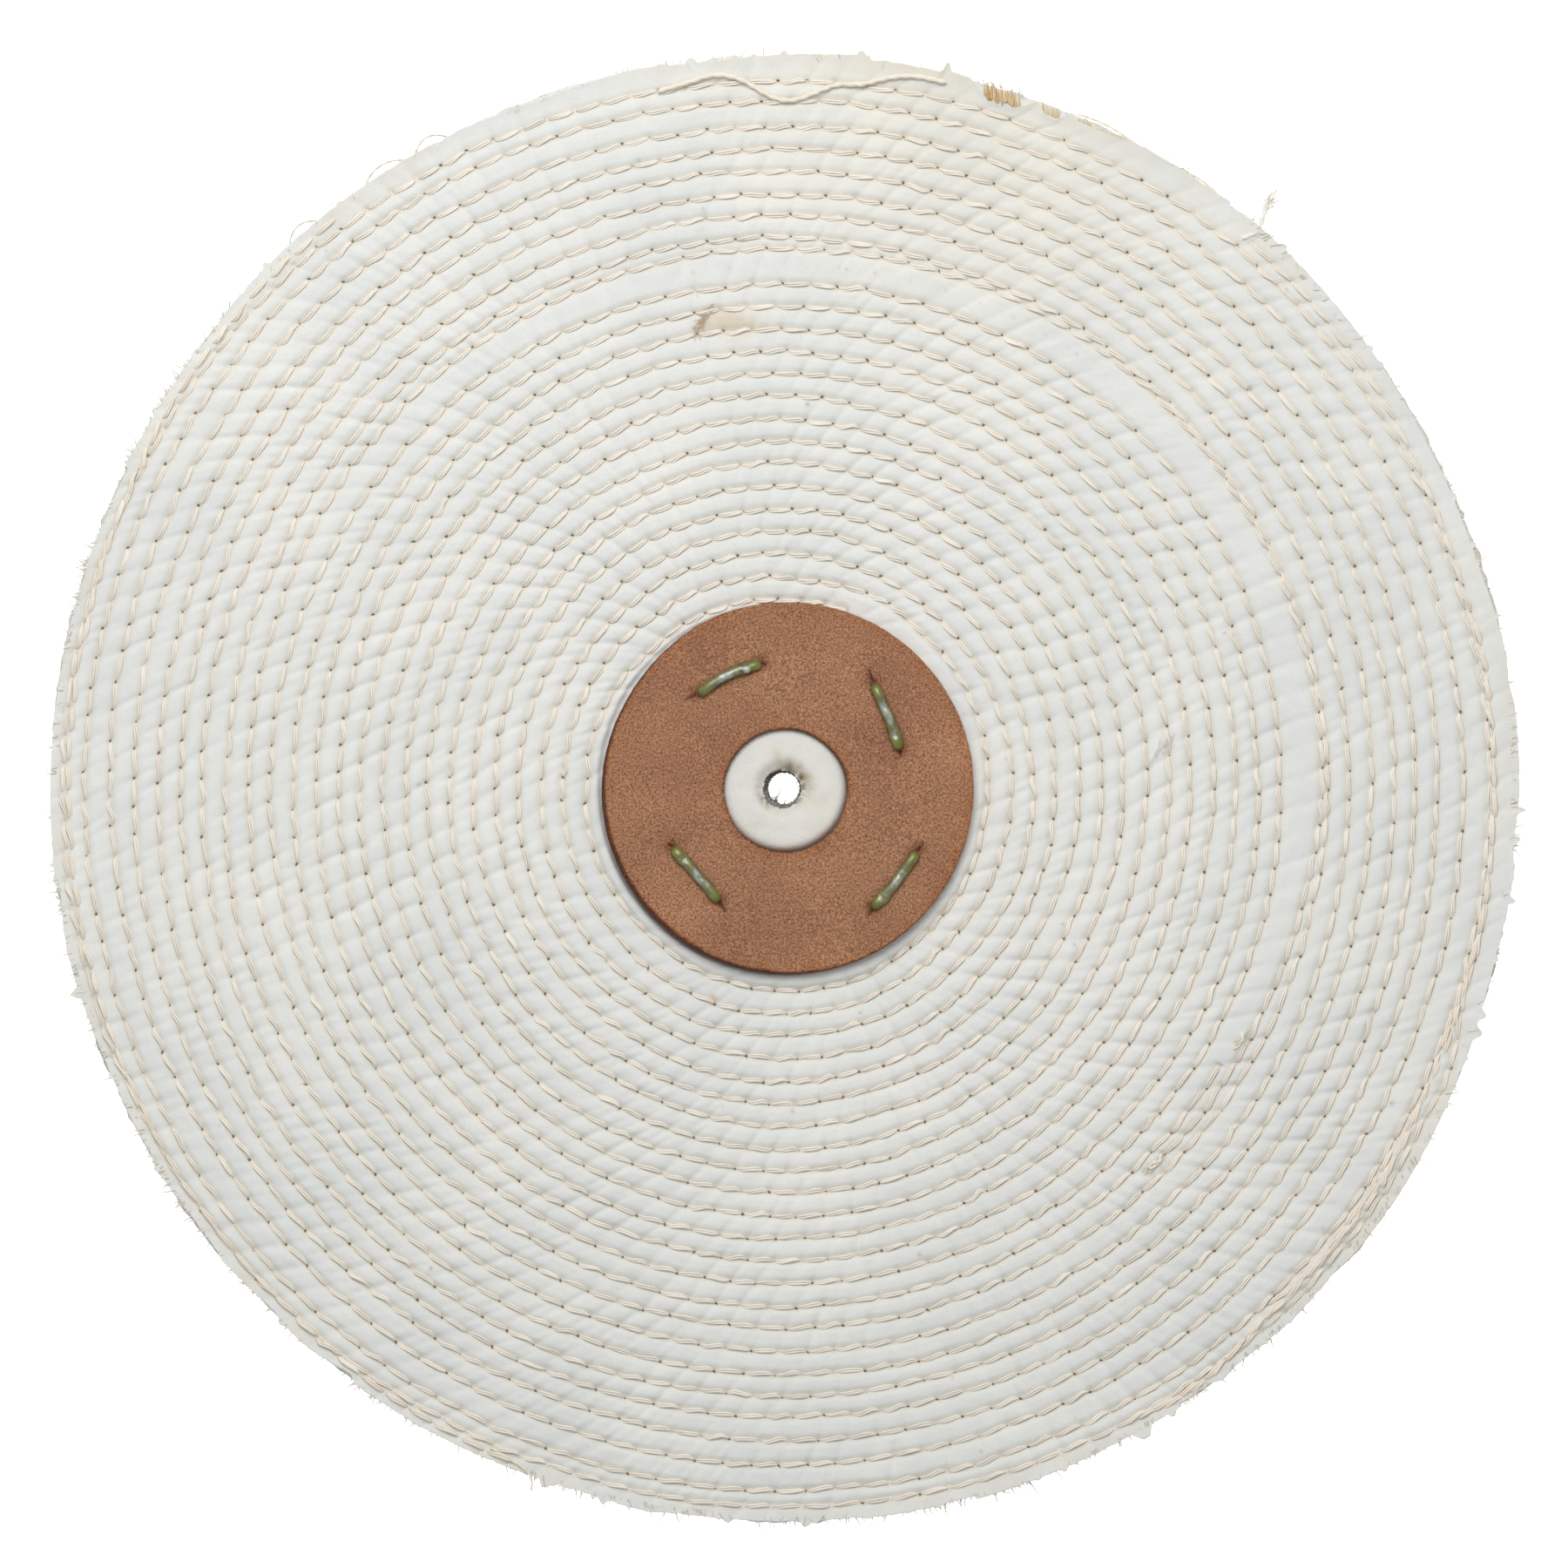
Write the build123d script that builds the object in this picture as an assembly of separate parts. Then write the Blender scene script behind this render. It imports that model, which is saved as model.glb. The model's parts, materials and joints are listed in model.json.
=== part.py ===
from build123d import *
import math
import os

# A spiral-sewn cotton buffing wheel, lying flat. The bore runs along Z and the origin is at the
# bore's centre, half way through the cloth. The front face looks along +Z. Sizes are millimetres.

# Cloth
WHEEL_RADIUS = 101.5  # 8 in wheel
PLY_COUNT = 40
PLY_THICKNESS = 0.30
TRIM_SPREAD = 0.6  # how much shorter than the outer plies an inner ply may be cut
TRIM_WAVES = 16  # how often the trim comes round from the front ply to the back ply
BORE_RADIUS = 3.0
FACE_Z = PLY_COUNT * PLY_THICKNESS / 2

# Leather centre washers
LEATHER_RADIUS = 25.7
LEATHER_HOLE_RADIUS = 8.5
LEATHER_THICKNESS = 2.8
LEATHER_EDGE_ROUND = 0.5

# Wire staples: centre and direction of each crown, seen from the front
WIRE_RADIUS = 0.65
CROWN_LENGTH = 9.8
WIRE_BEND = 1.0
WIRE_SUNK = 0.45  # how deep the crown and the clinched legs press into the leather
LEG_TIP_GAP = 1.4
WIRE_CLEARANCE = 0.03
STAPLES = {
    "staple_top_left": {"centre": (-7.5, 15.2), "turn": 26},
    "staple_top_right": {"centre": (14.2, 9.9), "turn": 111},
    "staple_bottom_left": {"centre": (-12.1, -11.9), "turn": 131},
    "staple_bottom_right": {"centre": (15.3, -12.7), "turn": 52},
}

# Stitching: two spirals of lockstitch, each a needle thread in front and a bobbin thread behind
THREAD_RADIUS = 0.35
THREAD_CROWN = 0.4  # the width of the bead's flat top
THREAD_HEIGHT = 0.35
ROW_PITCH = 3.13
INNER_START_RADIUS = 26.43
INNER_START_SIDE = -1  # it starts on the -X side
INNER_TURNS = 14.5
OUTER_START_RADIUS = 73.04
OUTER_START_SIDE = -1  # it starts on the -X side
OUTER_TURNS = 8.25

# The loose end of sewing thread that lies across the stitches near the rim
LOOSE_RADIUS = 0.33
LOOSE_Z = FACE_Z + THREAD_HEIGHT + LOOSE_RADIUS
LOOSE_ROUTE = [
    (-17.4, 96.2),
    (-13.5, 97.3),
    (-9.5, 98.7),
    (-5.8, 97.9),
    (-3.4, 96.3),
    (-0.8, 95.0),
    (1.6, 94.9),
    (4.7, 96.2),
    (7.5, 97.3),
    (10.5, 97.0),
    (14.6, 98.2),
    (18.6, 98.4),
    (22.4, 97.4),
]
ARC_SHARE = 0.45  # how much of the shorter run an arc takes up at each corner

FULL_TURN = 360
HALF_TURN = 180
FRONT = 1
BACK = -1


def leg_places():
    """Where the eight staple legs go through the cloth."""
    reach = CROWN_LENGTH / 2 - WIRE_RADIUS
    places = []
    for staple in STAPLES.values():
        x, y = staple["centre"]
        along = math.radians(staple["turn"])
        for side in (-1, 1):
            places.append((x + side * reach * math.cos(along), y + side * reach * math.sin(along)))
    return places


def ply_radius(index):
    """The front and back plies are cut full size, and those between a little short and uneven."""
    short = abs(math.sin(math.pi * TRIM_WAVES * index / (PLY_COUNT - 1)))
    return WHEEL_RADIUS - TRIM_SPREAD * short


def cloth_ply(index):
    """One round ply of cloth with its spindle hole and the holes of the staple legs."""
    outline = Circle(ply_radius(index)) - Circle(BORE_RADIUS)
    for x, y in leg_places():
        outline -= Pos(x, y) * Circle(WIRE_RADIUS + WIRE_CLEARANCE)
    top = FACE_Z - index * PLY_THICKNESS
    return extrude(Pos(0, 0, top - PLY_THICKNESS) * outline, amount=PLY_THICKNESS)


def staple_wire(staple, radius):
    """A wire staple: its crown in front, two legs through the stack, and the tips bent in behind."""
    reach = CROWN_LENGTH / 2 - WIRE_RADIUS
    high = FACE_Z + LEATHER_THICKNESS + WIRE_RADIUS - WIRE_SUNK
    path = FilletPolyline(
        (-LEG_TIP_GAP / 2, 0, -high),
        (-reach, 0, -high),
        (-reach, 0, high),
        (reach, 0, high),
        (reach, 0, -high),
        (LEG_TIP_GAP / 2, 0, -high),
        radius=WIRE_BEND,
    )
    section = Plane(origin=path @ 0, z_dir=path % 0) * Circle(radius)
    x, y = staple["centre"]
    return Pos(x, y) * Rot(0, 0, staple["turn"]) * sweep(section, path=path)


def leather_washer(side):
    """A thick leather ring, FRONT or BACK, rounded at its outer edge and pressed in by the wire."""
    blank = extrude(Circle(LEATHER_RADIUS) - Circle(LEATHER_HOLE_RADIUS), amount=side * LEATHER_THICKNESS)
    outer_face_edges = blank.edges().group_by(Axis.Z)[-1 if side > 0 else 0]
    rim = outer_face_edges.sort_by(SortBy.LENGTH)[-1]
    washer = Pos(0, 0, side * FACE_Z) * fillet(rim, LEATHER_EDGE_ROUND)
    for staple in STAPLES.values():
        washer -= staple_wire(staple, WIRE_RADIUS + WIRE_CLEARANCE)
    return washer


def stitch_spiral(start_radius, start_side, turns):
    """The needle thread: half-turn arcs from two centres, so each turn lies one row further out."""
    left = turns * FULL_TURN
    side = start_side
    radius = start_radius
    arcs = []
    while left > 0:
        centre = (-side * ROW_PITCH / 4, 0, FACE_Z)
        start_angle = 0 if side > 0 else HALF_TURN
        arcs.append(CenterArc(centre, radius + ROW_PITCH / 4, start_angle, min(HALF_TURN, left)))
        left -= HALF_TURN
        side = -side
        radius += ROW_PITCH / 2
    x = start_side * start_radius
    bead = Polyline(
        (x - THREAD_RADIUS, FACE_Z),
        (x - THREAD_CROWN / 2, FACE_Z + THREAD_HEIGHT),
        (x + THREAD_CROWN / 2, FACE_Z + THREAD_HEIGHT),
        (x + THREAD_RADIUS, FACE_Z),
        close=True,
    )
    return sweep(Plane.XZ * make_face(bead), path=Wire(arcs))


def loose_thread():
    """The loose thread end, a round tube of straight runs joined by tangent arcs."""
    points = [Vector(x, y, LOOSE_Z) for x, y in LOOSE_ROUTE]
    radii = []
    for before, corner, after in zip(points, points[1:], points[2:]):
        turn = math.radians((corner - before).get_angle(after - corner))
        run = min((corner - before).length, (after - corner).length)
        radii.append(ARC_SHARE * run / math.tan(turn / 2))
    print("loose thread arc radii, mm:", [round(radius, 1) for radius in radii])
    path = FilletPolyline(*points, radius=radii)
    section = Plane(origin=path @ 0, z_dir=path % 0) * Circle(LOOSE_RADIUS)
    tube = sweep(section, path=path)
    print("loose thread length, mm:", round(path.length, 1))
    print("volume over section times length:", tube.volume / (section.area * path.length))
    return tube


def build_parts():
    """Every node of the wheel by name."""
    parts = {}
    for index in range(PLY_COUNT):
        parts[f"cloth_ply_{index + 1:02d}"] = cloth_ply(index)
    parts["leather_washer_front"] = leather_washer(FRONT)
    parts["leather_washer_back"] = leather_washer(BACK)
    for name, staple in STAPLES.items():
        parts[name] = staple_wire(staple, WIRE_RADIUS)
    inner = stitch_spiral(INNER_START_RADIUS, INNER_START_SIDE, INNER_TURNS)
    outer = stitch_spiral(OUTER_START_RADIUS, OUTER_START_SIDE, OUTER_TURNS)
    parts["needle_thread_inner"] = inner
    parts["needle_thread_outer"] = outer
    parts["bobbin_thread_inner"] = mirror(inner, about=Plane.XY)
    parts["bobbin_thread_outer"] = mirror(outer, about=Plane.XY)
    parts["loose_thread"] = loose_thread()
    return parts


os.makedirs("parts", exist_ok=True)
for node, part in build_parts().items():
    export_step(part, f"parts/{node}.step")
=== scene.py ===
import json
import math

import bmesh
import bpy
import numpy as np
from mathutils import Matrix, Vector


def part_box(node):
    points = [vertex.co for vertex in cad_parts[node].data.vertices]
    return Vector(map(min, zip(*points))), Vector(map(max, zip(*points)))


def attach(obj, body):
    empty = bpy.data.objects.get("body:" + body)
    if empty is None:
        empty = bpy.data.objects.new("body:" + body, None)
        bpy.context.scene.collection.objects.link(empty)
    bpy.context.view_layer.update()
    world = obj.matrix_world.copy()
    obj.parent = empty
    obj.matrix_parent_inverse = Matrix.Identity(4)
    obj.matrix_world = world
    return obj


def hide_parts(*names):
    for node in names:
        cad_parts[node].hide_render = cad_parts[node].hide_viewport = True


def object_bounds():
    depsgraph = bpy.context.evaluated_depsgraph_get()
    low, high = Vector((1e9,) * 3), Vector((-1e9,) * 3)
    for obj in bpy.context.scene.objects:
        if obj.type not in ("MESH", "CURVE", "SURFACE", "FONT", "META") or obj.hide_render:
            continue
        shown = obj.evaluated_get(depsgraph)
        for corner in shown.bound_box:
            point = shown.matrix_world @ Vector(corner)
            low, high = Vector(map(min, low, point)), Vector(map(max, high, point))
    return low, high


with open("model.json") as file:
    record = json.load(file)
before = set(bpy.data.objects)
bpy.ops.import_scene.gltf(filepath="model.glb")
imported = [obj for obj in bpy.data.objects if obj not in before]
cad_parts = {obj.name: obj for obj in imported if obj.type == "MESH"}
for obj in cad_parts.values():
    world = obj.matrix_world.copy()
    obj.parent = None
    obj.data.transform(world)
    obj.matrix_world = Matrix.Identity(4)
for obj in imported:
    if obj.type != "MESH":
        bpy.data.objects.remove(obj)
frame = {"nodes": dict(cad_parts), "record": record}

# A spiral-sewn cotton buffing wheel, face up. Lengths are metres; MM turns millimetres into metres.
MM = 0.001
CAD_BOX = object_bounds()
SEED = 389

# Places taken from the frame
PLIES = sorted(name for name in frame["nodes"] if name.startswith("cloth_ply_"))
FRONT_LOW, FRONT_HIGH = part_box(PLIES[0])
FACE_Z = FRONT_HIGH.z
WHEEL_RADIUS = FRONT_HIGH.x
PLY_THICKNESS = FRONT_HIGH.z - FRONT_LOW.z
MOUNTS = {mount["name"]: mount for mount in frame["record"]["mounts"]}
BORE_RADIUS = MOUNTS["bore"]["dims"]["r_mm"] * MM
LEATHER_HOLE = MOUNTS["washer_recess_front"]["dims"]["r_mm"] * MM
LEATHER_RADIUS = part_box("leather_washer_front")[1].x


# ---------------------------------------------------------------- noise and mesh helpers

def wave_noise(angle, waves, seed, size=1.0):
    """A smooth periodic noise round the wheel: a sum of sines whose counts are whole numbers."""
    random = np.random.default_rng(seed)
    total = np.zeros_like(angle)
    for count in waves:
        phase = random.uniform(0, 2 * math.pi)
        total += random.uniform(0.5, 1.0) * np.sin(count * angle + phase)
    return size * total / math.sqrt(len(waves))


def polar(radius, angle, z):
    """Points from a radius, an angle and a height, each a number or an array."""
    return np.stack(np.broadcast_arrays(radius * np.cos(angle), radius * np.sin(angle), z), axis=-1)


def whole_turn(columns):
    """The angles of columns spread evenly round the wheel."""
    return np.arange(columns) * 2 * math.pi / columns


def bell(value, width):
    """1 where the value is 0, fading to nothing some widths away."""
    return np.exp(-(value / width) ** 2)


def towards(angle, degrees):
    """1 on the side of the wheel at the given degrees, falling to 0 on the far side."""
    return 0.5 + 0.5 * np.cos(angle - math.radians(degrees))


def lattice_noise(x, y, cell, seed):
    """Smooth value noise over the plane, from -1 to 1, with features about a cell wide."""
    random = np.random.default_rng(seed)
    table = random.uniform(-1, 1, (64, 64))
    gx, gy = x / cell, y / cell
    ix, iy = np.floor(gx).astype(int), np.floor(gy).astype(int)
    fx, fy = gx - ix, gy - iy
    fx, fy = fx * fx * (3 - 2 * fx), fy * fy * (3 - 2 * fy)
    low = table[ix % 64, iy % 64] * (1 - fx) + table[(ix + 1) % 64, iy % 64] * fx
    high = table[ix % 64, (iy + 1) % 64] * (1 - fx) + table[(ix + 1) % 64, (iy + 1) % 64] * fx
    return low * (1 - fy) + high * fy


def make_piece(name, points, faces, material):
    """A mesh object from arrays, riding on the wheel's one body."""
    points = np.asarray(points, np.float32).reshape(-1, 3)
    faces = np.asarray(faces, np.int32)
    mesh = bpy.data.meshes.new(name)
    mesh.vertices.add(len(points))
    mesh.vertices.foreach_set("co", points.ravel())
    mesh.loops.add(faces.size)
    mesh.loops.foreach_set("vertex_index", faces.ravel())
    mesh.polygons.add(len(faces))
    mesh.polygons.foreach_set("loop_start", np.arange(0, faces.size, faces.shape[1], dtype=np.int32))
    mesh.polygons.foreach_set("use_smooth", np.ones(len(faces), bool))
    mesh.update(calc_edges=True)
    mesh.materials.append(material)
    piece = bpy.data.objects.new(name, mesh)
    bpy.context.scene.collection.objects.link(piece)
    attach(piece, "root")
    return piece


def add_value(piece, name, values):
    attribute = piece.data.attributes.new(name, "FLOAT", "POINT")
    attribute.data.foreach_set("value", np.asarray(values, np.float32).ravel())


def add_tint(piece, colours):
    attribute = piece.data.attributes.new("tint", "FLOAT_COLOR", "POINT")
    colours = np.asarray(colours, np.float32).reshape(-1, 3)
    rgba = np.concatenate([colours, np.ones((len(colours), 1), np.float32)], axis=1)
    attribute.data.foreach_set("color", rgba.ravel())


def ring_faces(rings, columns, joined=False, flip=False):
    """Quads of closed rings by columns; joined also ties the last ring to the first."""
    ring, column = np.meshgrid(np.arange(rings if joined else rings - 1), np.arange(columns), indexing="ij")
    after = (column + 1) % columns
    further = (ring + 1) % rings * columns
    quads = np.stack([
        ring * columns + column, further + column, further + after, ring * columns + after,
    ], axis=-1).reshape(-1, 4)
    return quads[:, ::-1] if flip else quads


def tubes(centres, across, up, widths, heights, sides, lobe=0.0, twist=None):
    """Many tubes at once. centres is tubes x rings x 3; across and up are unit vectors of each section."""
    count, rings = centres.shape[:2]
    turn = np.broadcast_to(whole_turn(sides), (count, rings, sides))
    swell = 1.0 if twist is None else 1 + lobe * np.cos(2 * (turn - twist[..., None]))
    cosine = (np.cos(turn) * widths[..., None] * swell)[..., None]
    sine = (np.sin(turn) * heights[..., None] * swell)[..., None]
    points = centres[:, :, None, :] + across[:, :, None, :] * cosine + up[:, :, None, :] * sine
    quads = ring_faces(rings, sides)
    start = np.arange(count)[:, None, None] * rings * sides
    return points.reshape(-1, 3), (quads[None] + start).reshape(-1, 4)


# ---------------------------------------------------------------- material helpers

def new_material(name):
    """A new material with its node tree, its shader and the object's own coordinates."""
    material = bpy.data.materials.new(name)
    material.use_nodes = True
    tree = material.node_tree
    coords = tree.nodes.new("ShaderNodeTexCoord").outputs["Object"]
    return material, tree, tree.nodes["Principled BSDF"], coords


def noise_value(tree, coords, scale, detail=3.0, roughness=0.55):
    made = tree.nodes.new("ShaderNodeTexNoise")
    made.inputs["Scale"].default_value = scale
    made.inputs["Detail"].default_value = detail
    made.inputs["Roughness"].default_value = roughness
    tree.links.new(coords, made.inputs["Vector"])
    return made.outputs["Fac"]


def ramp_colour(tree, value, *stops):
    """The colour of a ramp at a value; stops are (position, colour)."""
    made = tree.nodes.new("ShaderNodeValToRGB")
    ramp = made.color_ramp
    while len(ramp.elements) < len(stops):
        ramp.elements.new(0.5)
    for element, (position, colour) in zip(ramp.elements, stops):
        element.position = position
        element.color = (*colour, 1.0)
    tree.links.new(value, made.inputs["Fac"])
    return made.outputs["Color"]


def mix_colour(tree, blend, factor, first, second):
    """Mixes two colours; factor, first and second are sockets or constants."""
    made = tree.nodes.new("ShaderNodeMix")
    made.data_type = "RGBA"
    made.blend_type = blend
    for socket, given in ((made.inputs[0], factor), (made.inputs[6], first), (made.inputs[7], second)):
        if isinstance(given, bpy.types.NodeSocket):
            tree.links.new(given, socket)
        elif isinstance(given, tuple):
            socket.default_value = (*given, 1.0)
        else:
            socket.default_value = given
    return made.outputs[2]


def maths(tree, operation, *values):
    made = tree.nodes.new("ShaderNodeMath")
    made.operation = operation
    for socket, given in zip(made.inputs, values):
        if isinstance(given, bpy.types.NodeSocket):
            tree.links.new(given, socket)
        else:
            socket.default_value = given
    return made.outputs[0]


def set_shader(shader, **values):
    """Sets sockets of the shader by name; a node's output is linked to its socket."""
    for name, value in values.items():
        socket = shader.inputs[name.replace("_", " ")]
        if isinstance(value, bpy.types.NodeSocket):
            shader.id_data.links.new(value, socket)
        else:
            socket.default_value = value


def bump(tree, height, distance, strength=1.0, before=None):
    made = tree.nodes.new("ShaderNodeBump")
    made.inputs["Distance"].default_value = distance
    made.inputs["Strength"].default_value = strength
    tree.links.new(height, made.inputs["Height"])
    if before is not None:
        tree.links.new(before, made.inputs["Normal"])
    return made.outputs["Normal"]


def painted(tree, name, output="Fac"):
    """What is painted on the mesh under a name."""
    made = tree.nodes.new("ShaderNodeAttribute")
    made.attribute_name = name
    return made.outputs[output]


def painted_tint(tree, colour):
    return mix_colour(tree, "MULTIPLY", 1.0, colour, painted(tree, "tint", "Color"))


def multiplied(tree, base, share, value, *stops):
    """A colour multiplied, by a share, by a ramp of a value."""
    return mix_colour(tree, "MULTIPLY", share, base, ramp_colour(tree, value, *stops))


# ---------------------------------------------------------------- materials

TWILL_PITCH = 0.20 * MM
TWILL_TURN = -137.0  # degrees: the twill's ridges climb to the right at 47
WAVES_PER_UNIT = 20 / (2 * math.pi)  # bands of a wave texture of scale 1 in one unit of length
# the dark brown that the needle holes are painted: painted shade in each hole
HOLE_SHADE_COLOUR = (0.165, 0.130, 0.095)


def twill_value(tree, coords):
    """Diagonal ridges of the weave, from 0 to 1."""
    turned = tree.nodes.new("ShaderNodeMapping")
    turned.inputs["Rotation"].default_value[2] = math.radians(TWILL_TURN)
    tree.links.new(coords, turned.inputs["Vector"])
    twill = tree.nodes.new("ShaderNodeTexWave")
    twill.wave_type = "BANDS"
    twill.bands_direction = "X"
    twill.inputs["Scale"].default_value = 1 / (TWILL_PITCH * WAVES_PER_UNIT)
    twill.inputs["Distortion"].default_value = 1.2
    twill.inputs["Detail"].default_value = 2.0
    twill.inputs["Detail Scale"].default_value = 1.4
    tree.links.new(turned.outputs["Vector"], twill.inputs["Vector"])
    return twill.outputs["Fac"]


def cloth_material():
    """Cool off-white cotton: fine diagonal twill, cloudy tone, the tints painted on the mesh, and needle
    holes painted dark as painted shade.
    """
    material, tree, shader, coords = new_material("cotton_cloth")
    cloud = noise_value(tree, coords, 60.0, 4.0)
    tone = ramp_colour(tree, cloud, (0.32, (0.786, 0.800, 0.786)), (0.68, (0.858, 0.860, 0.826)))
    twill = twill_value(tree, coords)
    lint = noise_value(tree, coords, 2800.0, 2.0)
    crumple = noise_value(tree, coords, 780.0, 3.0)
    weave = multiplied(tree, tone, 0.22, twill, (0.0, (0.80, 0.80, 0.79)), (1.0, (1.0, 1.0, 1.0)))
    speck = multiplied(tree, weave, 0.16, lint, (0.30, (0.76, 0.76, 0.75)), (0.62, (1.0, 1.0, 1.0)))
    # the needle holes, painted dark: painted shade
    painted_hole_shade = ramp_colour(tree, painted(tree, "needle"), (0.58, (0.0, 0.0, 0.0)), (0.74, (1.0, 1.0, 1.0)))
    surface = bump(tree, crumple, 0.00022, 0.5)
    surface = bump(tree, twill, 0.00003, 0.7, surface)
    surface = bump(tree, lint, 0.00005, 0.5, surface)
    set_shader(
        shader,
        Base_Color=mix_colour(tree, "MIX", painted_hole_shade, painted_tint(tree, speck), HOLE_SHADE_COLOUR),
        Roughness=maths(tree, "MULTIPLY_ADD", lint, 0.12, 0.82),
        Specular_IOR_Level=0.25,
        Sheen_Weight=0.12,
        Sheen_Roughness=0.5,
        Normal=surface,
    )
    return material


def thread_material(name, light, dark):
    """Cream cotton thread: tone that drifts along it, and fine twisted fibres as bump."""
    material, tree, shader, coords = new_material(name)
    drift = noise_value(tree, coords, 420.0, 3.0)
    tone = ramp_colour(tree, drift, (0.32, dark), (0.62, light))
    fibre = noise_value(tree, coords, 5200.0, 2.0)
    shade = multiplied(tree, tone, 0.20, fibre, (0.30, (0.66, 0.62, 0.55)), (0.60, (1.0, 1.0, 1.0)))
    set_shader(
        shader,
        Base_Color=painted_tint(tree, shade),
        Roughness=maths(tree, "MULTIPLY_ADD", fibre, 0.2, 0.62),
        Specular_IOR_Level=0.3,
        Sheen_Weight=0.1,
        Normal=bump(tree, fibre, 0.00008, 0.6),
    )
    return material


def leather_material():
    """Mid-brown undyed leather: suede-like speckle, and a darker rim painted on the mesh, part burnish and
    part painted shade.
    """
    material, tree, shader, coords = new_material("brown_leather")
    cloud = noise_value(tree, coords, 95.0, 5.0)
    tone = ramp_colour(tree, cloud, (0.28, (0.312, 0.140, 0.071)), (0.72, (0.408, 0.200, 0.102)))
    grain = noise_value(tree, coords, 3400.0, 3.0, 0.80)
    speckle = multiplied(tree, tone, 1.0, grain, (0.34, (0.36, 0.30, 0.26)), (0.50, (0.94, 0.93, 0.92)),
                         (0.66, (1.60, 1.70, 1.80)))
    voronoi = tree.nodes.new("ShaderNodeTexVoronoi")
    voronoi.inputs["Scale"].default_value = 900.0
    tree.links.new(coords, voronoi.inputs["Vector"])
    pores = voronoi.outputs["Distance"]
    dots = multiplied(tree, speckle, 0.55, pores, (0.05, (0.45, 0.36, 0.32)), (0.20, (1.0, 1.0, 1.0)))
    set_shader(
        shader,
        Base_Color=painted_tint(tree, dots),
        Roughness=maths(tree, "MULTIPLY_ADD", grain, 0.25, 0.55),
        Specular_IOR_Level=0.35,
        Normal=bump(tree, pores, 0.0001, 0.3, bump(tree, grain, 0.00012, 0.7)),
    )
    return material


def wire_material():
    """Olive-green coated steel wire, grey along the top of the crown: part metal rubbed bare by tools and
    fingers, part painted highlight.
    """
    material, tree, shader, coords = new_material("olive_wire")
    drift = noise_value(tree, coords, 480.0, 3.0)
    green = ramp_colour(tree, drift, (0.30, (0.125, 0.122, 0.048)), (0.68, (0.225, 0.222, 0.098)))
    scratch = noise_value(tree, coords, 1500.0, 4.0, 0.7)
    edge = maths(tree, "MULTIPLY_ADD", scratch, 0.9, painted(tree, "wear_and_light"))
    mask = ramp_colour(tree, edge, (0.78, (0.0, 0.0, 0.0)), (1.05, (1.0, 1.0, 1.0)))
    set_shader(
        shader,
        Base_Color=painted_tint(tree, mix_colour(tree, "MIX", mask, green, (0.37, 0.39, 0.35))),
        Metallic=0.35,
        Roughness=maths(tree, "MULTIPLY_ADD", scratch, 0.30, 0.24),
        Coat_Weight=0.20,
        Coat_Roughness=0.18,
        Normal=bump(tree, scratch, 0.00005, 0.5),
    )
    return material


def floor_material():
    """Plain pale light table, as used for cut-out product pictures."""
    material, tree, shader, coords = new_material("pale_floor")
    cloud = noise_value(tree, coords, 3.0, 2.0)
    set_shader(
        shader,
        Base_Color=ramp_colour(tree, cloud, (0.3, (0.955, 0.955, 0.955)), (0.7, (0.97, 0.97, 0.97))),
        Roughness=0.9,
        Specular_IOR_Level=0.1,
        Emission_Color=(1.0, 1.0, 1.0, 1.0),
        Emission_Strength=0.95,
    )
    return material


# ---------------------------------------------------------------- sewing

# Two spirals of lockstitch, as (degrees turned counter-clockwise from +X, radius in millimetres)
INNER_ROWS = ((-290, 25.6), (0, 28.3), (5010, 71.5))
OUTER_ROWS = (
    (-47, 72.8), (-20, 73.1), (0, 74.2), (60, 74.7), (120, 73.9), (180, 73.3), (270, 74.0), (360, 74.9),
    (720, 78.1), (1080, 81.2), (1440, 84.2), (1800, 87.2), (2160, 90.3), (2520, 93.7), (2880, 97.4),
    (2970, 97.2), (3015, 97.8), (3060, 98.5), (3150, 98.6), (3195, 99.4), (3218, 99.8), (3221, 98.5),
    (3240, 98.0), (3263, 97.9), (3276, 98.7), (3290, 98.9),
)
ROW_DRIFT = 0.75  # millimetres by which the rows lie further out on the left than on the right
STITCH_RADII = (26, 60, 100)
STITCH_LENGTHS = (3.3, 3.8, 4.05)
HOLE_OUTWARD = 0.12 * MM  # needle holes sit on the outer side of each row
HOLE_LENGTH = 0.25 * MM  # half lengths of a needle hole, along the row and across it
HOLE_WIDTH = 0.17 * MM
SEWN_EDGE = 25.2 * MM  # the cloth is held flat from here inwards, under the leather


def row_drift(turned, radius):
    """How far the hand-guided rows drift outwards from their spiral, in millimetres."""
    left = 0.5 - 0.5 * math.cos(math.radians(turned - 20))
    from_upper_left = (turned - 155 + 180) % 360 - 180
    outermost = min(max((radius - 82) / 8, 0), 1)
    return ROW_DRIFT * left + 0.5 * outermost * math.exp(-(from_upper_left / 40) ** 2)


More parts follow.
